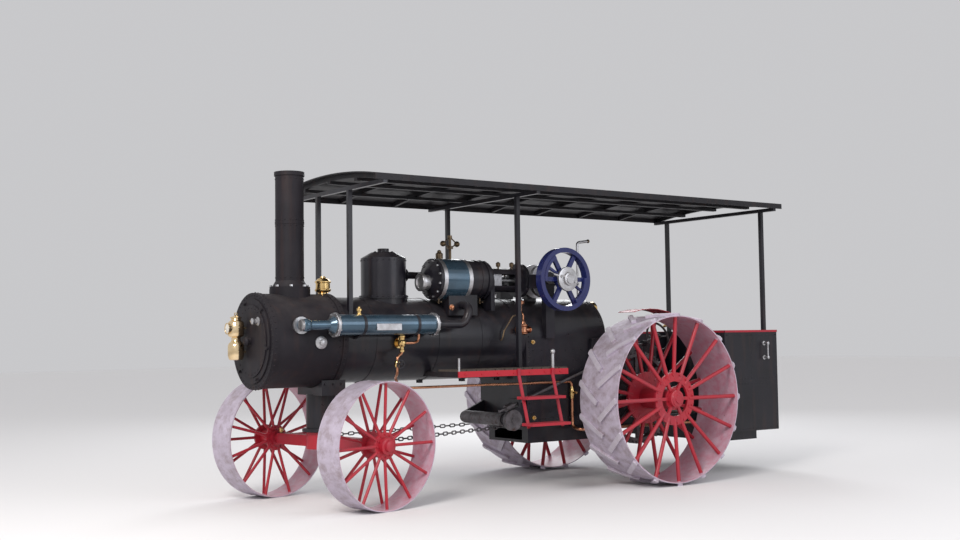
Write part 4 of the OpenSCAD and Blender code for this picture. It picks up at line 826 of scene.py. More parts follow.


# Cylinder, chest and engine bed
# A cast cylinder under a blue jacket with bright steel bands, its cover held by a ring of nuts, and a
# bored guide open at both sides. Oil cups, drain cocks and a lubricator are bronze, painted dark as
# shade under the canopy.
dress(black_enamel, "steam_cylinder", "engine_bed")
dress(bright_steel, "crosshead", "connecting_rod")
ENGINE_Y, CRANK_Z, CYLINDER_R, JACKET_R, BAND_R = 0.28, 2.23, 0.205, 0.2125, 0.2155
cylinder_back, cylinder_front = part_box("engine_bed")[1].x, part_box("steam_cylinder")[1].x - 0.04
crank_x = REAR_X + 1.05
SHEET_X0, SHEET_X1, SHEET_R = 2.075, cylinder_front - REAR_X - 0.034, 0.199
jacket = Shape()
jacket.hoop(at(SHEET_X0, ENGINE_Y, CRANK_Z), ALONG, SHEET_X1 - SHEET_X0, SHEET_R, JACKET_R, 64)
jacket.piece("cylinder_jacket", blue_iron, "root")
cylinder_bands = Shape()
for x in (SHEET_X0, SHEET_X1 - BAND_WIDTH):
    cylinder_bands.hoop(at(x, ENGINE_Y, CRANK_Z), ALONG, BAND_WIDTH, CYLINDER_R, BAND_R, 64)
cylinder_bands.piece("cylinder_bands", bright_steel, "root")
turning("cylinder_cover", black_enamel, "root", (cylinder_front, ENGINE_Y, CRANK_Z), ALONG, [
    (-0.036, 0.19), (-0.036, JACKET_R), (0, JACKET_R), (0.002, 0.17), (0.043, 0.118), (0.046, 0.08)], 64)
CAP_DROP = 0.035
turning("cylinder_cover_cap", bright_steel, "root", (cylinder_front + 0.04, ENGINE_Y, CRANK_Z - CAP_DROP),
        ALONG, [(0, 0.078), (0.056, 0.078), (0.064, 0.094), (0.098, 0.094), (0.106, 0.088), (0.106, 0.062),
                (0.09, 0.055)], 48)
COVER_NUTS, NUTS_R, REAR_NUTS_R = 12, 0.191, 0.2035
cover_spots = [face_circle((cylinder_front + 0.001, ENGINE_Y, CRANK_Z), ALONG, NUTS_R, COVER_NUTS),
               face_circle((cylinder_front - 0.034, ENGINE_Y, CRANK_Z), -ALONG, REAR_NUTS_R, COVER_NUTS)]
bolts("cylinder_cover_nuts", cover_spots, bright_steel, "root", 0.0125, 0.016)

CUP_Z, GUIDE_CUP_Z = CRANK_Z + 0.088, CRANK_Z + 0.125
BEARING_OUT = 0.163
bearings = (ENGINE_Y + BEARING_OUT, ENGINE_Y - BEARING_OUT)
cup_profile = [(0, 0.010), (0.02, 0.010), (0.024, 0.024), (0.06, 0.026), (0.066, 0.018), (0.074, 0.008)]
# Bronze painted darker than brass, as painted shade under the canopy: oil cups, cocks, lubricator, governor,
# regulator knob and pump pipe
dark_bronze = bare_metal("dark_bronze", (0.2, 0.14, 0.08), (0.06, 0.045, 0.035), gloss=0.34, metallic=0.8)
cups = Shape()
for x in (cylinder_back + 0.06, cylinder_front - 0.06):
    foot = Vector((x, ENGINE_Y + 0.05, CRANK_Z - CYLINDER_R))
    cups.bar(foot + 0.02 * UPWARD, foot - 0.05 * UPWARD, 0.009)
    cups.bar(foot - 0.035 * UPWARD - 0.03 * ACROSS, foot - 0.035 * UPWARD + 0.05 * ACROSS, 0.006)
for place in (*[(crank_x, y, CUP_Z) for y in bearings], (crank_x, -0.35, CRANK_Z + 0.084),
              at(1.60, ENGINE_Y, GUIDE_CUP_Z), at(1.42, ENGINE_Y, GUIDE_CUP_Z)):
    cups.turned(place, UPWARD, cup_profile, 20)
cups.turned(at(2.26, 0.13, 2.378), UPWARD, [
    (0, 0.012), (0.04, 0.012), (0.05, 0.038), (0.13, 0.04), (0.145, 0.022), (0.16, 0.022), (0.17, 0.009)])
cups.piece("oil_cups_and_cocks", dark_bronze, "root")
turning("saddle_plug", copper, "root", at(2.294, 0.398, 1.933), ACROSS,
        [(0, 0.03), (0.012, 0.03), (0.016, 0.02), (0.035, 0.02), (0.04, 0.012)], 20)

# Copper oil pump on the barrel, with the pipe to its cup and the thin pipe to its check valve
PUMP_X, PUMP_Y, PUMP_Z, PUMP_CUP_Y = 1.42, 0.475, 1.64, 0.44
pump_arm_z = PUMP_Z + 0.055
pump = Shape()
pump.turned(at(PUMP_X, PUMP_Y, PUMP_Z), UPWARD, [
    (0, 0.022), (0.012, 0.05), (0.02, 0.052), (0.03, 0.04), (0.085, 0.038), (0.095, 0.05), (0.11, 0.052),
    (0.12, 0.03), (0.15, 0.02), (0.16, 0.012)], 28)
pump.bar(at(PUMP_X + 0.075, PUMP_Y, pump_arm_z), at(PUMP_X - 0.075, PUMP_Y, pump_arm_z), 0.024, 20)
for x in (PUMP_X + 0.075, PUMP_X - 0.087):
    pump.bar(at(x, PUMP_Y, pump_arm_z), at(x + 0.012, PUMP_Y, pump_arm_z), 0.036, 20)
pump.bar(at(PUMP_X, PUMP_Y, pump_arm_z), at(PUMP_X, 0.42, pump_arm_z), 0.02, 16)
pump.turned(at(PUMP_X, PUMP_CUP_Y, 1.945), UPWARD, [
    (0, 0.010), (0.02, 0.012), (0.026, 0.034), (0.06, 0.036), (0.068, 0.02), (0.076, 0.01)], 24)
pump.piece("oil_pump", copper, "root")
pump_run = [at(PUMP_X, PUMP_Y, PUMP_Z + 0.15), at(PUMP_X, PUMP_Y, 1.86), at(PUMP_X, PUMP_CUP_Y, 1.89),
            at(PUMP_X, PUMP_CUP_Y, 1.95)]
pipes("oil_pump_pipe", [pump_run], copper, "root", 0.010, 0.03)
check_run = [at(1.46, 0.455, 1.86), at(1.55, 0.462, 1.84), at(1.665, 0.462, 1.684), at(1.685, 0.455, 1.60),
             at(1.685, 0.42, 1.58)]
# The thin pipe is bronze painted dark, as shade under the canopy
pipes("pump_check_pipe", [check_run], dark_bronze, "root", 0.008, 0.03)

chest_places = [at(x - 0.005, -0.075, z) for x in (2.00, 2.10, 2.20, 2.30) for z in (2.19, 2.36)]
chest_places += [at(x, -0.075, z) for x in (1.965, 2.325) for z in (2.24, 2.31)]
bolts("chest_cover_nuts", single(chest_places, -ACROSS), bright_steel, "root", 0.011, 0.012)
GUIDE_X, GUIDE_BOLTS_R, BEARING_TOP, BOLT_OUT = 1.33, 0.158, 0.066, 0.062
bearing_top = CRANK_Z + BEARING_TOP
bed_spots = [face_circle(at(GUIDE_X, ENGINE_Y, CRANK_Z), -ALONG, GUIDE_BOLTS_R, 10)]
bed_spots += single([(crank_x + x, y, bearing_top) for y in bearings for x in (-BOLT_OUT, BOLT_OUT)], UPWARD)
bolts("bed_bolts", bed_spots, bright_steel, "root", 0.013, 0.014)


# Crankshaft, flywheel and clutch
# Forged and turned steel on brass-lined bearings. The flywheel is painted dark blue over its cast rim;
# inside it a friction clutch with two shoes works from a bright sliding sleeve.
dress(bright_steel, "crankshaft")
flywheel_blue = enamel("flywheel_blue", (0.008, 0.012, 0.075), (0.016, 0.022, 0.105), gloss=0.26, dust=0.1,
                       coat=0.4)
dress(flywheel_blue, "flywheel")
wheel_low, wheel_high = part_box("flywheel")
rim_inner_r = (wheel_high.z - wheel_low.z) / 2 - 0.05
SHOE_T, SHOE_WIDTH, SHOE_HALF, SHOE_STEPS, SHOE_TURN = 0.035, 0.05, math.radians(32), 8, 0.5
hub = Vector((crank_x, wheel_high.y, CRANK_Z))
clutch = Shape()
for side in (0, math.pi):
    shoe_start = side + SHOE_TURN - SHOE_HALF
    outline = [pitched(shoe_start + 2 * SHOE_HALF * step / SHOE_STEPS) for step in range(SHOE_STEPS + 1)]
    ring_points = [hub + (rim_inner_r - 0.001) * way for way in outline]
    ring_points += [hub + (rim_inner_r - SHOE_T) * way for way in reversed(outline)]
    clutch.plate([point - 0.055 * ACROSS for point in ring_points], SHOE_WIDTH * ACROSS)
    arm = pitched(side + SHOE_TURN)
    arm_end = hub + (rim_inner_r - SHOE_T + 0.01) * arm - 0.03 * ACROSS
    clutch.bar(hub + 0.05 * arm - 0.02 * ACROSS, arm_end, 0.017)
clutch.piece("clutch_shoes", flywheel_blue, "crank")
LUG_TURN = 0.3
sleeve = Shape()
sleeve.turned(hub - 0.004 * ACROSS, ACROSS,
              [(0, 0.128), (0.012, 0.132), (0.03, 0.128), (0.034, 0.11), (0.036, 0.072), (0.06, 0.068),
               (0.064, 0.05), (0.075, 0.048)], 40)
for side in (LUG_TURN, LUG_TURN + math.pi):
    lug = pitched(side)
    sleeve.bar(hub + 0.1 * lug + 0.02 * ACROSS, hub + 0.17 * lug - 0.01 * ACROSS, 0.013)
    sleeve.bar(hub + 0.095 * lug, hub + 0.095 * lug + 0.048 * ACROSS, 0.015)
sleeve.piece("clutch_sleeve", bright_steel, "crank")


# Gears, countershaft and rear axle
# Cast-iron spur gears, dark with grease and road dust, on turned steel shafts. The axle's brackets are
# bolted to the firebox.
gear_iron = bare_metal("gear_iron", (0.15, 0.14, 0.15), (0.045, 0.04, 0.042), gloss=0.42, metallic=0.6)
dress(gear_iron, "idler_gear", "main_gear", "bull_pinion_left", "bull_pinion_right", "bull_gear_left",
      "bull_gear_right")
dress(bright_steel, "countershaft", "rear_axle")
dress(black_enamel, "axle_brackets")
COUNTER_X, BRACKET_Y, GEAR_BOLTS_R = 0.1, 0.4703, 0.09
gear_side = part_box("main_gear")[0].y
main_spots = face_circle(at(COUNTER_X, gear_side, centre("countershaft", 2)), -ACROSS, GEAR_BOLTS_R, 6)
bolts("main_gear_bolts", [main_spots], gear_iron, "compensating_gear", 0.014, 0.014)
idler_low, idler_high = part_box("idler_gear")
idler_middle = (idler_low + idler_high) / 2
washer_place = (idler_middle.x, gear_side - 0.018, idler_middle.z)
turning("idler_stud_washer", bright_steel, "root", washer_place, -ACROSS,
        [(0, 0.05), (0.012, 0.05), (0.016, 0.03), (0.03, 0.028)])
bracket_spots = []
for side in (-1, 1):
    places = ((0.34, 1.40), (0.44, 1.30), (0.46, 1.10), (0.40, 0.95), (0.30, 0.84), (0.28, 1.52))
    bracket_spots += single([at(x, side * BRACKET_Y, z) for x, z in places], side * ACROSS)
bolts("bracket_bolts", bracket_spots, black_enamel, "root", 0.016, 0.014)


# Rear wheels
# Plate rims with herringbone strakes riveted on, and two rows of round steel spokes between the rim and
# a cast hub. Spokes and hub are red; the road has worn the rims and strakes to bare, pale steel.
def wheel_paint(name, middle, axis, rim_in, worn_r):
    """Bare pale steel outside the rim, faded red inside it, red on the spokes and the hub."""
    paint = Finish(name)
    reach = paint.from_axis(middle, axis)
    red = paint.mix(paint.noise(0.2, 5, 0.6).over(0.5, 0.5), (0.42, 0.010, 0.022), (0.30, 0.018, 0.035))
    fading = paint.noise(0.07, 6, 0.65, seed=2.0).over(0.5, 0.4)
    faded = paint.mix(fading, (0.50, 0.20, 0.27), (0.52, 0.38, 0.46))
    patches = paint.noise(0.12, 7, 0.65, seed=4.0).over(0.5, 0.4)
    dirt = paint.noise(0.09, 7, 0.7, seed=9.0).over(0.56, 0.2)
    steel = paint.mix(patches, (0.56, 0.50, 0.60), (0.40, 0.34, 0.41))
    steel = paint.mix(dirt * 0.55, steel, (0.22, 0.16, 0.15))
    steel = paint.mix(reach.over(worn_r, 0.006) * 0.6, steel, (0.6, 0.56, 0.62))
    inside = paint.mix(reach.over(rim_in - 0.008, 0.012), red, faded)
    outside = reach.over(rim_in + 0.003, 0.004)
    chipped = paint.noise(0.03, 8, 0.7, seed=3.1).over(0.68, 0.04) * (1 - outside)
    colour = paint.mix(chipped, paint.mix(outside, inside, steel), (0.11, 0.05, 0.04))
    dusty = paint.lying_dust() * 0.2
    rough = paint.noise(0.1, 5, 0.6) * 0.25 + 0.25 + outside * 0.18 + chipped * 0.3
    bump = paint.noise(0.02, 6, 0.6) * 0.5 + dirt * outside - chipped
    return paint.finish(paint.mix(dusty, colour, DUST), rough.clip(), bump, depth=0.002, strength=0.4,
                        metallic=outside * 0.25)


REAR_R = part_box("rear_wheel_left")[1].z / 2
STRAKE_H, RIM_T = 0.028, 0.012
rear_rim_in = REAR_R - STRAKE_H - RIM_T
rear_paint = wheel_paint("rear_wheel_paint", (REAR_X, 0, REAR_R), (0, 1, 0), rear_rim_in, REAR_R - 0.006)
dress(rear_paint, "rear_wheel_left", "rear_wheel_right")
STRAKE_COUNT, STRAKE_RIVETS, STRAKE_GAP, STRAKE_INSET, STRAKE_LEAN = 16, 5, 0.004, 0.016, 0.8
HUB_FLANGE_R, HUB_FLANGE_T, HUB_BOLTS, FLANGE_IN, CAP_IN = 0.262, 0.014, 16, 0.09, 0.04
for side, label in ((1, "left"), (-1, "right")):
    body = label + "_rear_wheel"
    low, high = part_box("rear_wheel_" + label)
    inner, face = sorted((abs(low.y), abs(high.y)))
    middle = (inner + face) / 2
    run = ((face - inner) / 2 - STRAKE_INSET) * STRAKE_LEAN
    heads = []
    for row, y0, y1 in ((1, middle + STRAKE_GAP, face), (-1, inner, middle - STRAKE_GAP)):
        for strake in range(STRAKE_COUNT):
            turn_to = 2 * math.pi / STRAKE_COUNT * (strake + row * 0.25)
            for rivet in range(STRAKE_RIVETS):
                share = (rivet + 0.5) / STRAKE_RIVETS - 0.5
                angle = turn_to - row * share * run / (REAR_R - STRAKE_H)
                way = Vector((math.sin(angle), 0, math.cos(angle)))
                y = side * ((y0 + y1) / 2 + share * (y1 - y0))
                heads += single([Vector((REAR_X, y, REAR_R)) + (REAR_R - 0.001) * way], way)
    rivets(label + "_strake_rivets", heads, rear_paint, body, 0.009, 0.0025, taper=0.8)
    hub_face = (REAR_X, side * (face - FLANGE_IN + HUB_FLANGE_T), REAR_R)
    hub_spots = face_circle(hub_face, side * ACROSS, HUB_FLANGE_R, HUB_BOLTS, start=0.1)
    bolts(label + "_hub_bolts", [hub_spots], rear_paint, body, 0.012, 0.012)
    cap_place = (REAR_X, side * (face - CAP_IN), REAR_R)
    turning(label + "_rear_hub_cap", rear_paint, body, cap_place, side * ACROSS,
            [(-0.02, 0.094), (0.0, 0.094), (0.006, 0.08), (0.014, 0.076), (0.018, 0.05), (0.03, 0.045)], 32)


# Front wheels
# Plain rolled rims on two rows of spokes, with cast hubs and a cap over the journal. They turn about the
# steered axle's ends.
front_low, front_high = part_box("front_wheel_left")
pair_low, pair_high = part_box("front_wheel_right")
FRONT_R = front_high.z / 2
left_middle, right_middle = (front_low + front_high) / 2, (pair_low + pair_high) / 2
beam = (left_middle - right_middle).normalized()
pin_place = (left_middle + right_middle) / 2
front_paint = wheel_paint("front_wheel_paint", tuple(pin_place), tuple(beam), FRONT_R - RIM_T, FRONT_R + 0.05)
dress(front_paint, "front_wheel_left", "front_wheel_right")
FRONT_FACE, FRONT_W, FRONT_SPOKES, FRONT_BOLTS_R, BOLTS_IN, HEADS_IN = 1.0, 0.31, 12, 0.108, 0.048, 0.034
HALF_SPOKE_TURN = 0.2618
for side, label in ((1, "left"), (-1, "right")):
    out = side * beam
    body = label + "_front_wheel"
    turning(label + "_front_hub_cap", front_paint, body, pin_place + (FRONT_FACE - 0.012) * out, out,
            [(-0.01, 0.072), (0.002, 0.072), (0.01, 0.056), (0.04, 0.052), (0.05, 0.03)], 28)
    nuts = [face_circle(pin_place + reach * out, way * out, FRONT_BOLTS_R, 12, start=0.26)
            for reach, way in ((FRONT_FACE - BOLTS_IN, 1), (FRONT_FACE - FRONT_W + BOLTS_IN, -1))]
    bolts(label + "_front_hub_bolts", nuts, front_paint, body, 0.011, 0.012)
    spoke_rows = ((FRONT_FACE - HEADS_IN, 0), (FRONT_FACE - FRONT_W + HEADS_IN, HALF_SPOKE_TURN))
    rim_heads = [circle(pin_place + reach * out, out, FRONT_R - 0.0015, FRONT_SPOKES, start)
                 for reach, start in spoke_rows]
    rivets(label + "_spoke_heads", rim_heads, front_paint, body, 0.013, 0.0035, taper=0.75)


# Front pedestal, axle and steering gear
# A cast saddle under the smokebox holds the pin of the forged axle beam. Chains lead from its eyes to a
# drum under the barrel, which a worm turns from the hand wheel on the platform.
red_enamel = enamel("red_enamel", (0.40, 0.010, 0.022), (0.30, 0.02, 0.038), gloss=0.36)
dress(red_enamel, "front_axle")
dress(black_enamel, "front_pedestal", "drum_brackets")
dress(gear_iron, "steering_drum", "steering_shaft")
SADDLE_Y, SADDLE_BOLT_Z, SADDLE_BOLT_GAP, OIL_CUP_REACH = 0.26, 1.18, 0.09, 0.66
saddle_spots, beam_cups = [], Shape()
for side in (-1, 1):
    saddle_spots += single([(pin_place.x + x, side * SADDLE_Y, SADDLE_BOLT_Z)
                            for x in (-SADDLE_BOLT_GAP, 0.0, SADDLE_BOLT_GAP)], side * ACROSS)
    beam_cups.turned(pin_place + side * OIL_CUP_REACH * beam + 0.052 * UPWARD, UPWARD,
                     [(0, 0.012), (0.012, 0.012), (0.016, 0.024), (0.045, 0.024), (0.055, 0.01)], 16)
bolts("pedestal_bolts", saddle_spots, black_enamel, "root", 0.014, 0.014)
beam_cups.piece("axle_oil_cups", brass, "front_axle")

# A chain is oval links along a line, each a quarter turn from the one before
graph, given = growth("chain_links", {"Pitch": NUMBER, "Link length": NUMBER, "Link width": NUMBER,
                                      "Wire": NUMBER, "Finish": STUFF})
inner_width = given["Link width"] - 2 * given["Wire"]
oval = graph.node("GeometryNodeCurvePrimitiveQuadrilateral",
                  inputs={"Width": given["Link length"] - 2 * given["Wire"], "Height": inner_width})
rounded = graph.node("GeometryNodeFilletCurve", {"mode": "POLY"},
                     {"Curve": oval, "Count": 3, "Radius": inner_width * 0.49})
wire = graph.node("GeometryNodeCurvePrimitiveCircle", inputs={"Resolution": 6, "Radius": given["Wire"]})
link = graph.node("GeometryNodeCurveToMesh", inputs={"Curve": rounded, "Profile Curve": wire})
quarters = graph.node("GeometryNodeInputIndex") * (math.pi / 2)
quarter = graph.node("FunctionNodeAxisAngleToRotation", inputs={"Axis": (1, 0, 0), "Angle": quarters})
turned = graph.node("FunctionNodeRotateRotation", {"rotation_space": "LOCAL"},
                    {0: aimed(graph, "X"), 1: quarter})
links = graph.node("GeometryNodeInstanceOnPoints",
                   inputs={"Points": beads(graph, given), "Instance": link, "Rotation": turned})
chain_growth = end_growth(graph, links, given["Finish"])

EYE_BACK, CHAIN_Y, DRUM_CHAIN_Y = 0.07, 0.56, 0.30
DRUM_X, DRUM_Z, DRUM_R = 1.6, 0.74, 0.07
fore = Vector((beam.y, -beam.x, 0))
chain_lines = []
for side in (-1, 1):
    hook = pin_place - EYE_BACK * fore + side * CHAIN_Y * beam
    start = at(DRUM_X, side * DRUM_CHAIN_Y, DRUM_Z - DRUM_R - 0.01)
    way = (hook - start).normalized()
    chain_lines.append(([start + 0.035 * way, hook - 0.05 * way], way, False))
chain_sizes = {"Pitch": 0.058, "Link length": 0.078, "Link width": 0.044, "Wire": 0.0068, "Finish": gear_iron}
chains = grown("steering_chain_links", chain_lines, chain_growth, chain_sizes, None)
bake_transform(chains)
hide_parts("steering_chains")

HAND_WHEEL_R = 0.165
shaft_top = at(-0.52, 0.5, 1.6)
shaft_way = (shaft_top - at(1.647, 0.5, 0.881)).normalized()
rim_up = (UPWARD - shaft_way * shaft_way.z).normalized()
grip_place = shaft_top + HAND_WHEEL_R * (0.7 * rim_up + 0.714 * ACROSS)
turning("hand_wheel_grip", brass, "steering_shaft", grip_place, shaft_way,
        [(0, 0.009), (0.03, 0.009), (0.035, 0.017), (0.10, 0.02), (0.115, 0.012)], 16)


# Platform and fenders
# Steel girders under a deck of dark, oiled boards, worn paler where the driver stands. Red fenders of
# rolled sheet cover the inner halves of the rear wheels.
wood = Finish("dark_boards")
DARK_WOOD, PALE_WOOD = (0.03, 0.024, 0.02), (0.09, 0.07, 0.055)
grained = wood.noise(0.02, 6, 0.65, stretch=(1, 0.08, 1))
worn = wood.noise(0.3, 5, 0.6, seed=2.0).over(0.5, 0.4)
trodden = wood.mix(worn * 0.7, wood.mix(grained, DARK_WOOD, PALE_WOOD), PALE_WOOD)
soiled = wood.mix(wood.noise(0.06, 6, 0.7, seed=6.0).over(0.55, 0.3) * 0.6, trodden, (0.02, 0.017, 0.015))
dark_boards = wood.finish(soiled, grained * 0.2 + 0.6, grained, depth=0.0015, strength=0.5)

# Boards across a line at a pitch, each shifted a little
graph, given = growth("slats", {"Pitch": NUMBER, "Size": VECTOR, "Wander": NUMBER, "Finish": STUFF})
board = graph.node("GeometryNodeMeshCube", inputs={"Size": given["Size"]})
boards = graph.node("GeometryNodeInstanceOnPoints", inputs={"Points": beads(graph, given), "Instance": board})
shift = graph.node("FunctionNodeRandomValue", {"data_type": "FLOAT_VECTOR"},
                   {0: (-0.001, -1, -0.15), 1: (0.001, 1, 0.15), "Seed": 7})
moved = graph.node("ShaderNodeVectorMath", {"operation": "SCALE"}, {0: shift, "Scale": given["Wander"]})
loose = graph.node("GeometryNodeTranslateInstances", inputs={"Instances": boards, "Translation": moved})
slat_growth = end_growth(graph, loose, given["Finish"])


def slats(name, lines, body, pitch, size, wander=0.004):
    """Dark boards of one size across lines."""
    sizes = {"Pitch": pitch, "Size": size, "Wander": wander, "Finish": dark_boards}
    return grown(name, [(line, UPWARD, False) for line in lines], slat_growth, sizes, body)


dress(black_enamel, "platform")
dress(red_enamel, "fenders")
platform_low, platform_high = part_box("platform")
DECK_Z, DECK_WIDTH = 0.70, 0.92
deck = [(x, 0, DECK_Z + 0.011) for x in (platform_low.x + 0.05, platform_high.x - 0.06)]
slats("deck_boards", [deck], "root", 0.104, (0.098, DECK_WIDTH, 0.022))
FENDER_GAP, FENDER_T, FENDER_ROWS_Y = 0.05, 0.005, (0.705, 0.945)
fender_r = REAR_R + FENDER_GAP + FENDER_T
fender_ways = [pitched(math.radians(angle)) for angle in range(76, 165, 4)]
fender_rows = []
for side in (-1, 1):
    for y in FENDER_ROWS_Y:
        points = [Vector((REAR_X, side * y, REAR_R)) + fender_r * way for way in fender_ways]
        fender_rows.append((points, fender_ways, False))
rivets("fender_rivets", fender_rows, red_enamel, "root", 0.007, 0.004, pitch=0.11)


# Tank and bunker
# A riveted water tank across the rear, with an open bunker above it whose edge is beaded. It is black,
# with a thin red line of trim along the bunker's edge and a bright grab handle at each side.
dress(black_enamel, "tank", "tank_lid")
dress(gear_iron, "drawbar")
tank_low, tank_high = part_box("tank")
tank_hw, bunker_z = tank_high.y, tank_high.z
EDGE_IN, TANK_Z0, TANK_Z1 = 0.03, 0.47, 1.06
REAR_SEAM_Y, FRONT_SEAMS_Y = 0.3, (-0.31, -0.85, 0.31, 0.85)
back, front = tank_low.x + EDGE_IN, tank_high.x - EDGE_IN
foot_z, row_top = TANK_Z0 + EDGE_IN, bunker_z - 0.055
row_heights = (foot_z, TANK_Z1 - EDGE_IN, TANK_Z1 + EDGE_IN, row_top)
tank_rows = []
for side in (-1, 1):
    y, way = side * tank_hw, side * ACROSS
    tank_rows += [straight((back, y, z), (front, y, z), way) for z in row_heights]
    tank_rows += [straight((x, y, foot_z), (x, y, row_top), way) for x in (back, front, centre("tank", 0))]
side_y = tank_hw - EDGE_IN
x = tank_low.x
tank_rows += [straight((x, -side_y, z), (x, side_y, z), -ALONG) for z in row_heights]
tank_rows += [straight((x, y, foot_z), (x, y, row_top), -ALONG)
              for y in (-side_y, -REAR_SEAM_Y, REAR_SEAM_Y, side_y)]
x = tank_high.x
tank_rows += [straight((x, y, foot_z), (x, y, row_top), ALONG) for y in FRONT_SEAMS_Y]
rivets("tank_rivets", tank_rows, black_enamel, "root", 0.007, 0.005, pitch=0.05)

TRIM_H, TRIM_T, TRIM_SINK, GAP_HW = 0.022, 0.006, 0.004, 0.28
trim_z0, trim_z1 = bunker_z - TRIM_H, bunker_z + TRIM_SINK
trim = Shape()
for side in (-1, 1):
    y0, y1 = sorted((side * (tank_hw - TRIM_SINK), side * (tank_hw + TRIM_T)))
    trim.block((tank_low.x - TRIM_T, y0, trim_z0), (tank_high.x + TRIM_T, y1, trim_z1))
    y0, y1 = sorted((side * GAP_HW, side * (tank_hw + TRIM_T)))
    trim.block((tank_high.x - TRIM_SINK, y0, trim_z0), (tank_high.x + TRIM_T, y1, trim_z1))
trim.block((tank_low.x - TRIM_T, -tank_hw - TRIM_T, trim_z0),
           (tank_low.x + TRIM_SINK, tank_hw + TRIM_T, trim_z1))
trim.piece("bunker_trim", red_enamel, "root", 0.003)
HANDLE_X, HANDLE_LOW_Z, HANDLE_HIGH_Z, HANDLE_OUT = REAR_X - 1.90, 1.335, 1.505, 0.062
handles = Shape()
for side in (-1, 1):
    y = side * tank_hw
    for z in (HANDLE_LOW_Z, HANDLE_HIGH_Z):
        handles.turned((HANDLE_X, y - side * 0.002, z), side * ACROSS, [
            (0, 0.026), (0.008, 0.026), (0.012, 0.014), (0.05, 0.014), (0.056, 0.02), (0.075, 0.018),
            (0.082, 0.008)], 20)
    grip_y = y + side * HANDLE_OUT
    handles.bar((HANDLE_X, grip_y, HANDLE_LOW_Z), (HANDLE_X, grip_y, HANDLE_HIGH_Z), 0.009)
handles.piece("tank_handles", bright_steel, "root")


# Running boards and ladder
# Planks on iron brackets, with a red angle bolted along the outer edge and bright uprights on it. A
# two-step ladder hangs down the left.
board_low, board_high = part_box("running_boards")
red_edge, board_top = board_high.y - 0.014, board_high.z


def outer_edge(paint):
    """1 beyond the red edge, on both sides of the engine."""
    y = paint.part(paint.place, "Y")
    return y.math("ABSOLUTE", y).over(red_edge, 0.002)


board_paint = enamel("board_paint", BLACK, (0.03, 0.027, 0.03), gloss=0.4,
                     masked=((0.40, 0.012, 0.024), outer_edge))
dress(board_paint, "running_boards")
dress(red_enamel, "ladder")
BOARD_Y0, POST_Y = 0.575, 0.925
plank_lines = []
for side in (-1, 1):
    middle_y = side * (BOARD_Y0 + red_edge) / 2
    plank_lines.append([(x, middle_y, board_top + 0.006) for x in (board_low.x + 0.05, board_high.x - 0.05)])
slats("walk_boards", plank_lines, "root", 0.109, (0.103, red_edge - BOARD_Y0 - 0.01, 0.018), 0.003)
uprights = Shape()
for side in (-1, 1):
    rear_post, fore_post = at(1.385, side * POST_Y, board_top), at(2.565, side * POST_Y, board_top)
    uprights.bar(rear_post, rear_post + 0.155 * UPWARD, 0.017)
    uprights.ball(rear_post + 0.178 * UPWARD, 0.027)
    uprights.bar(fore_post, fore_post + 0.13 * UPWARD, 0.012)
uprights.piece("board_uprights", bright_steel, "root")
EDGE_BOLTS_X, EDGE_BOLTS_DROP = (1.3, 1.5, 1.7, 1.9, 2.1, 2.3, 2.5), 0.03
edge_spots = []
for x in EDGE_BOLTS_X:
    for side in (-1, 1):
        edge_spots += single([at(x, side * board_high.y, board_top - EDGE_BOLTS_DROP)], side * ACROSS)
bolts("board_edge_bolts", edge_spots, board_paint, "root", 0.011, 0.008)


# Canopy
# A sheet-iron roof painted black over boards and bent bows, on square posts. Rivets hold the plain flat
# strip along its edge.
canopy_black = enamel("canopy_black", (0.007, 0.0065, 0.009), (0.015, 0.014, 0.017), gloss=0.5, dust=0.5,
                      coat=0.0)
dress(canopy_black, "canopy")
dress(black_enamel, "canopy_posts")
roof_low, roof_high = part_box("canopy")
ROW_IN, ROW_UP = 0.05, 0.03
roof_rows = []
for side in (-1, 1):
    y, z = side * roof_high.y, roof_low.z + ROW_UP
    roof_rows.append(straight((roof_low.x + ROW_IN, y, z), (roof_high.x - ROW_IN, y, z), side * ACROSS))
rivets("canopy_edge_rivets", roof_rows, canopy_black, "root", 0.006, 0.004, pitch=0.12)


# Governor, levers and lamp
# A fly-ball governor on the steam chest, the driver's wooden-gripped levers and regulator handle, and an
# oil lamp with a brass body on the smokebox door.
# The governor is bronze painted dark, as shade under the canopy
dress(dark_bronze, "governor")
dress(bright_steel, "levers")
grips = Shape()
for foot, top in ((at(0.13, -0.33, 0.72), at(-0.06, -0.33, 1.90)),
                  (at(-0.12, -0.28, 0.72), at(-0.20, -0.28, 1.70))):
    way = (top - foot).normalized()
    grips.turned(top - 0.14 * way, way, [(0, 0.016), (0.01, 0.021), (0.12, 0.021), (0.15, 0.014)], 16)
grips.piece("lever_grips", dark_boards, "root")
HANDLE_Y, HANDLE_TOP_Z = 0.20, 2.685
handle_foot = at(0.42, HANDLE_Y, boiler_z + math.sqrt(fb_side ** 2 - HANDLE_Y ** 2) - 0.012)
handle_top = Vector((handle_foot.x, HANDLE_Y, HANDLE_TOP_Z))
handle_run = [handle_foot, handle_top, handle_top - 0.15 * ALONG + 0.02 * UPWARD]
pipes("regulator_handle", [handle_run], bright_steel, "root", 0.016, 0.035)
# The regulator's socket and knob are bronze painted dark, as shade under the canopy
regulator = Shape()
regulator.turned(handle_foot, UPWARD, [(0, 0.034), (0.02, 0.034), (0.028, 0.022), (0.06, 0.02)], 20)
regulator.ball(handle_top - 0.16 * ALONG + 0.021 * UPWARD, 0.022)
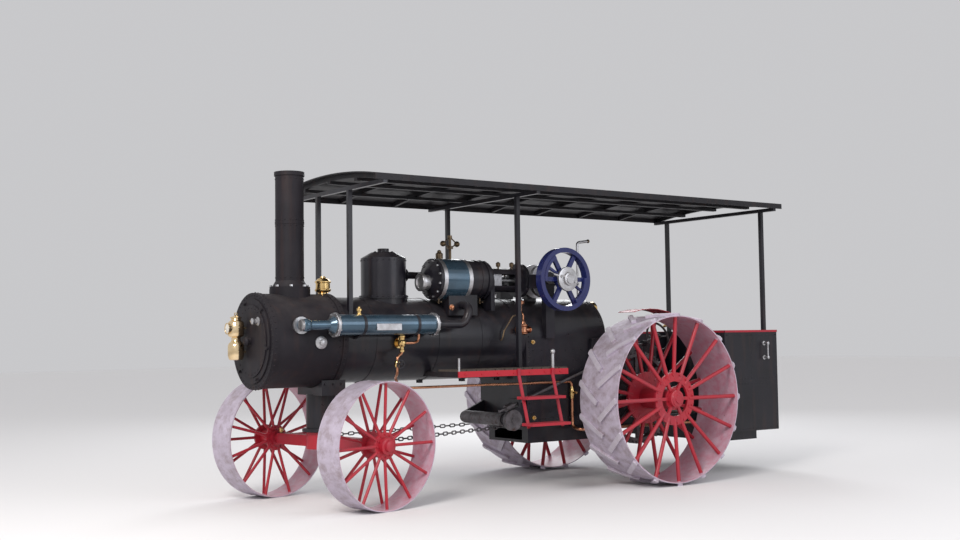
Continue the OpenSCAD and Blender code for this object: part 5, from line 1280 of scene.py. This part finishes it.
regulator.piece("regulator_socket_and_knob", dark_bronze, "root")

LAMP_R, LAMP_Y, LAMP_Z0, LENS_Z, BAIL_HW, BAIL_Z = 0.078, -0.118, 1.43, 1.735, 0.03, 1.885
lamp_x = door_face + 0.016 + LAMP_R
lamp = Shape()
lamp.turned((lamp_x, LAMP_Y, LAMP_Z0), UPWARD, [
    (0, 0.05), (0.006, 0.066), (0.03, 0.074), (0.05, LAMP_R), (0.14, LAMP_R), (0.16, 0.07), (0.18, 0.05),
    (0.19, 0.044), (0.215, 0.044), (0.225, 0.06), (0.235, LAMP_R - 0.004), (0.25, LAMP_R), (0.36, LAMP_R),
    (0.375, 0.066), (0.385, 0.05), (0.40, 0.046), (0.405, 0.056), (0.415, 0.056), (0.425, 0.03),
    (0.435, 0.012)], 32)
lamp.turned((lamp_x + LAMP_R - 0.02, LAMP_Y, LENS_Z), ALONG,
            [(0, 0.052), (0.03, 0.056), (0.036, 0.056), (0.036, 0.048), (0.03, 0.047)], 28)
for height in (0.08, 0.31):
    z = LAMP_Z0 + height
    lamp.block((door_face - 0.004, LAMP_Y - 0.02, z - 0.01), (lamp_x, LAMP_Y + 0.02, z + 0.01))
for side in (-1, 1):
    y = LAMP_Y + side * BAIL_HW
    lamp.bar((lamp_x, y, LAMP_Z0 + 0.42), (lamp_x, y, BAIL_Z), 0.004)
lamp.bar((lamp_x, LAMP_Y - 0.034, BAIL_Z), (lamp_x, LAMP_Y + 0.034, BAIL_Z), 0.005)
pale_brass = bare_metal("pale_brass", (0.86, 0.70, 0.46), (0.66, 0.48, 0.26), gloss=0.16, metallic=1.0,
                        rusty=0.76, rust=TARNISH)
lamp_piece = lamp.piece("door_lamp", pale_brass, "smokebox_door")
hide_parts("lamp")
# The lens is glass painted pale as its reflection
turning("lamp_lens", dial_white, "smokebox_door", (lamp_x + LAMP_R + 0.008, LAMP_Y, LENS_Z), ALONG,
        [(0, 0.047), (0.003, 0.047), (0.008, 0.03), (0.010, 0.01)], 28)

low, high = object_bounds()
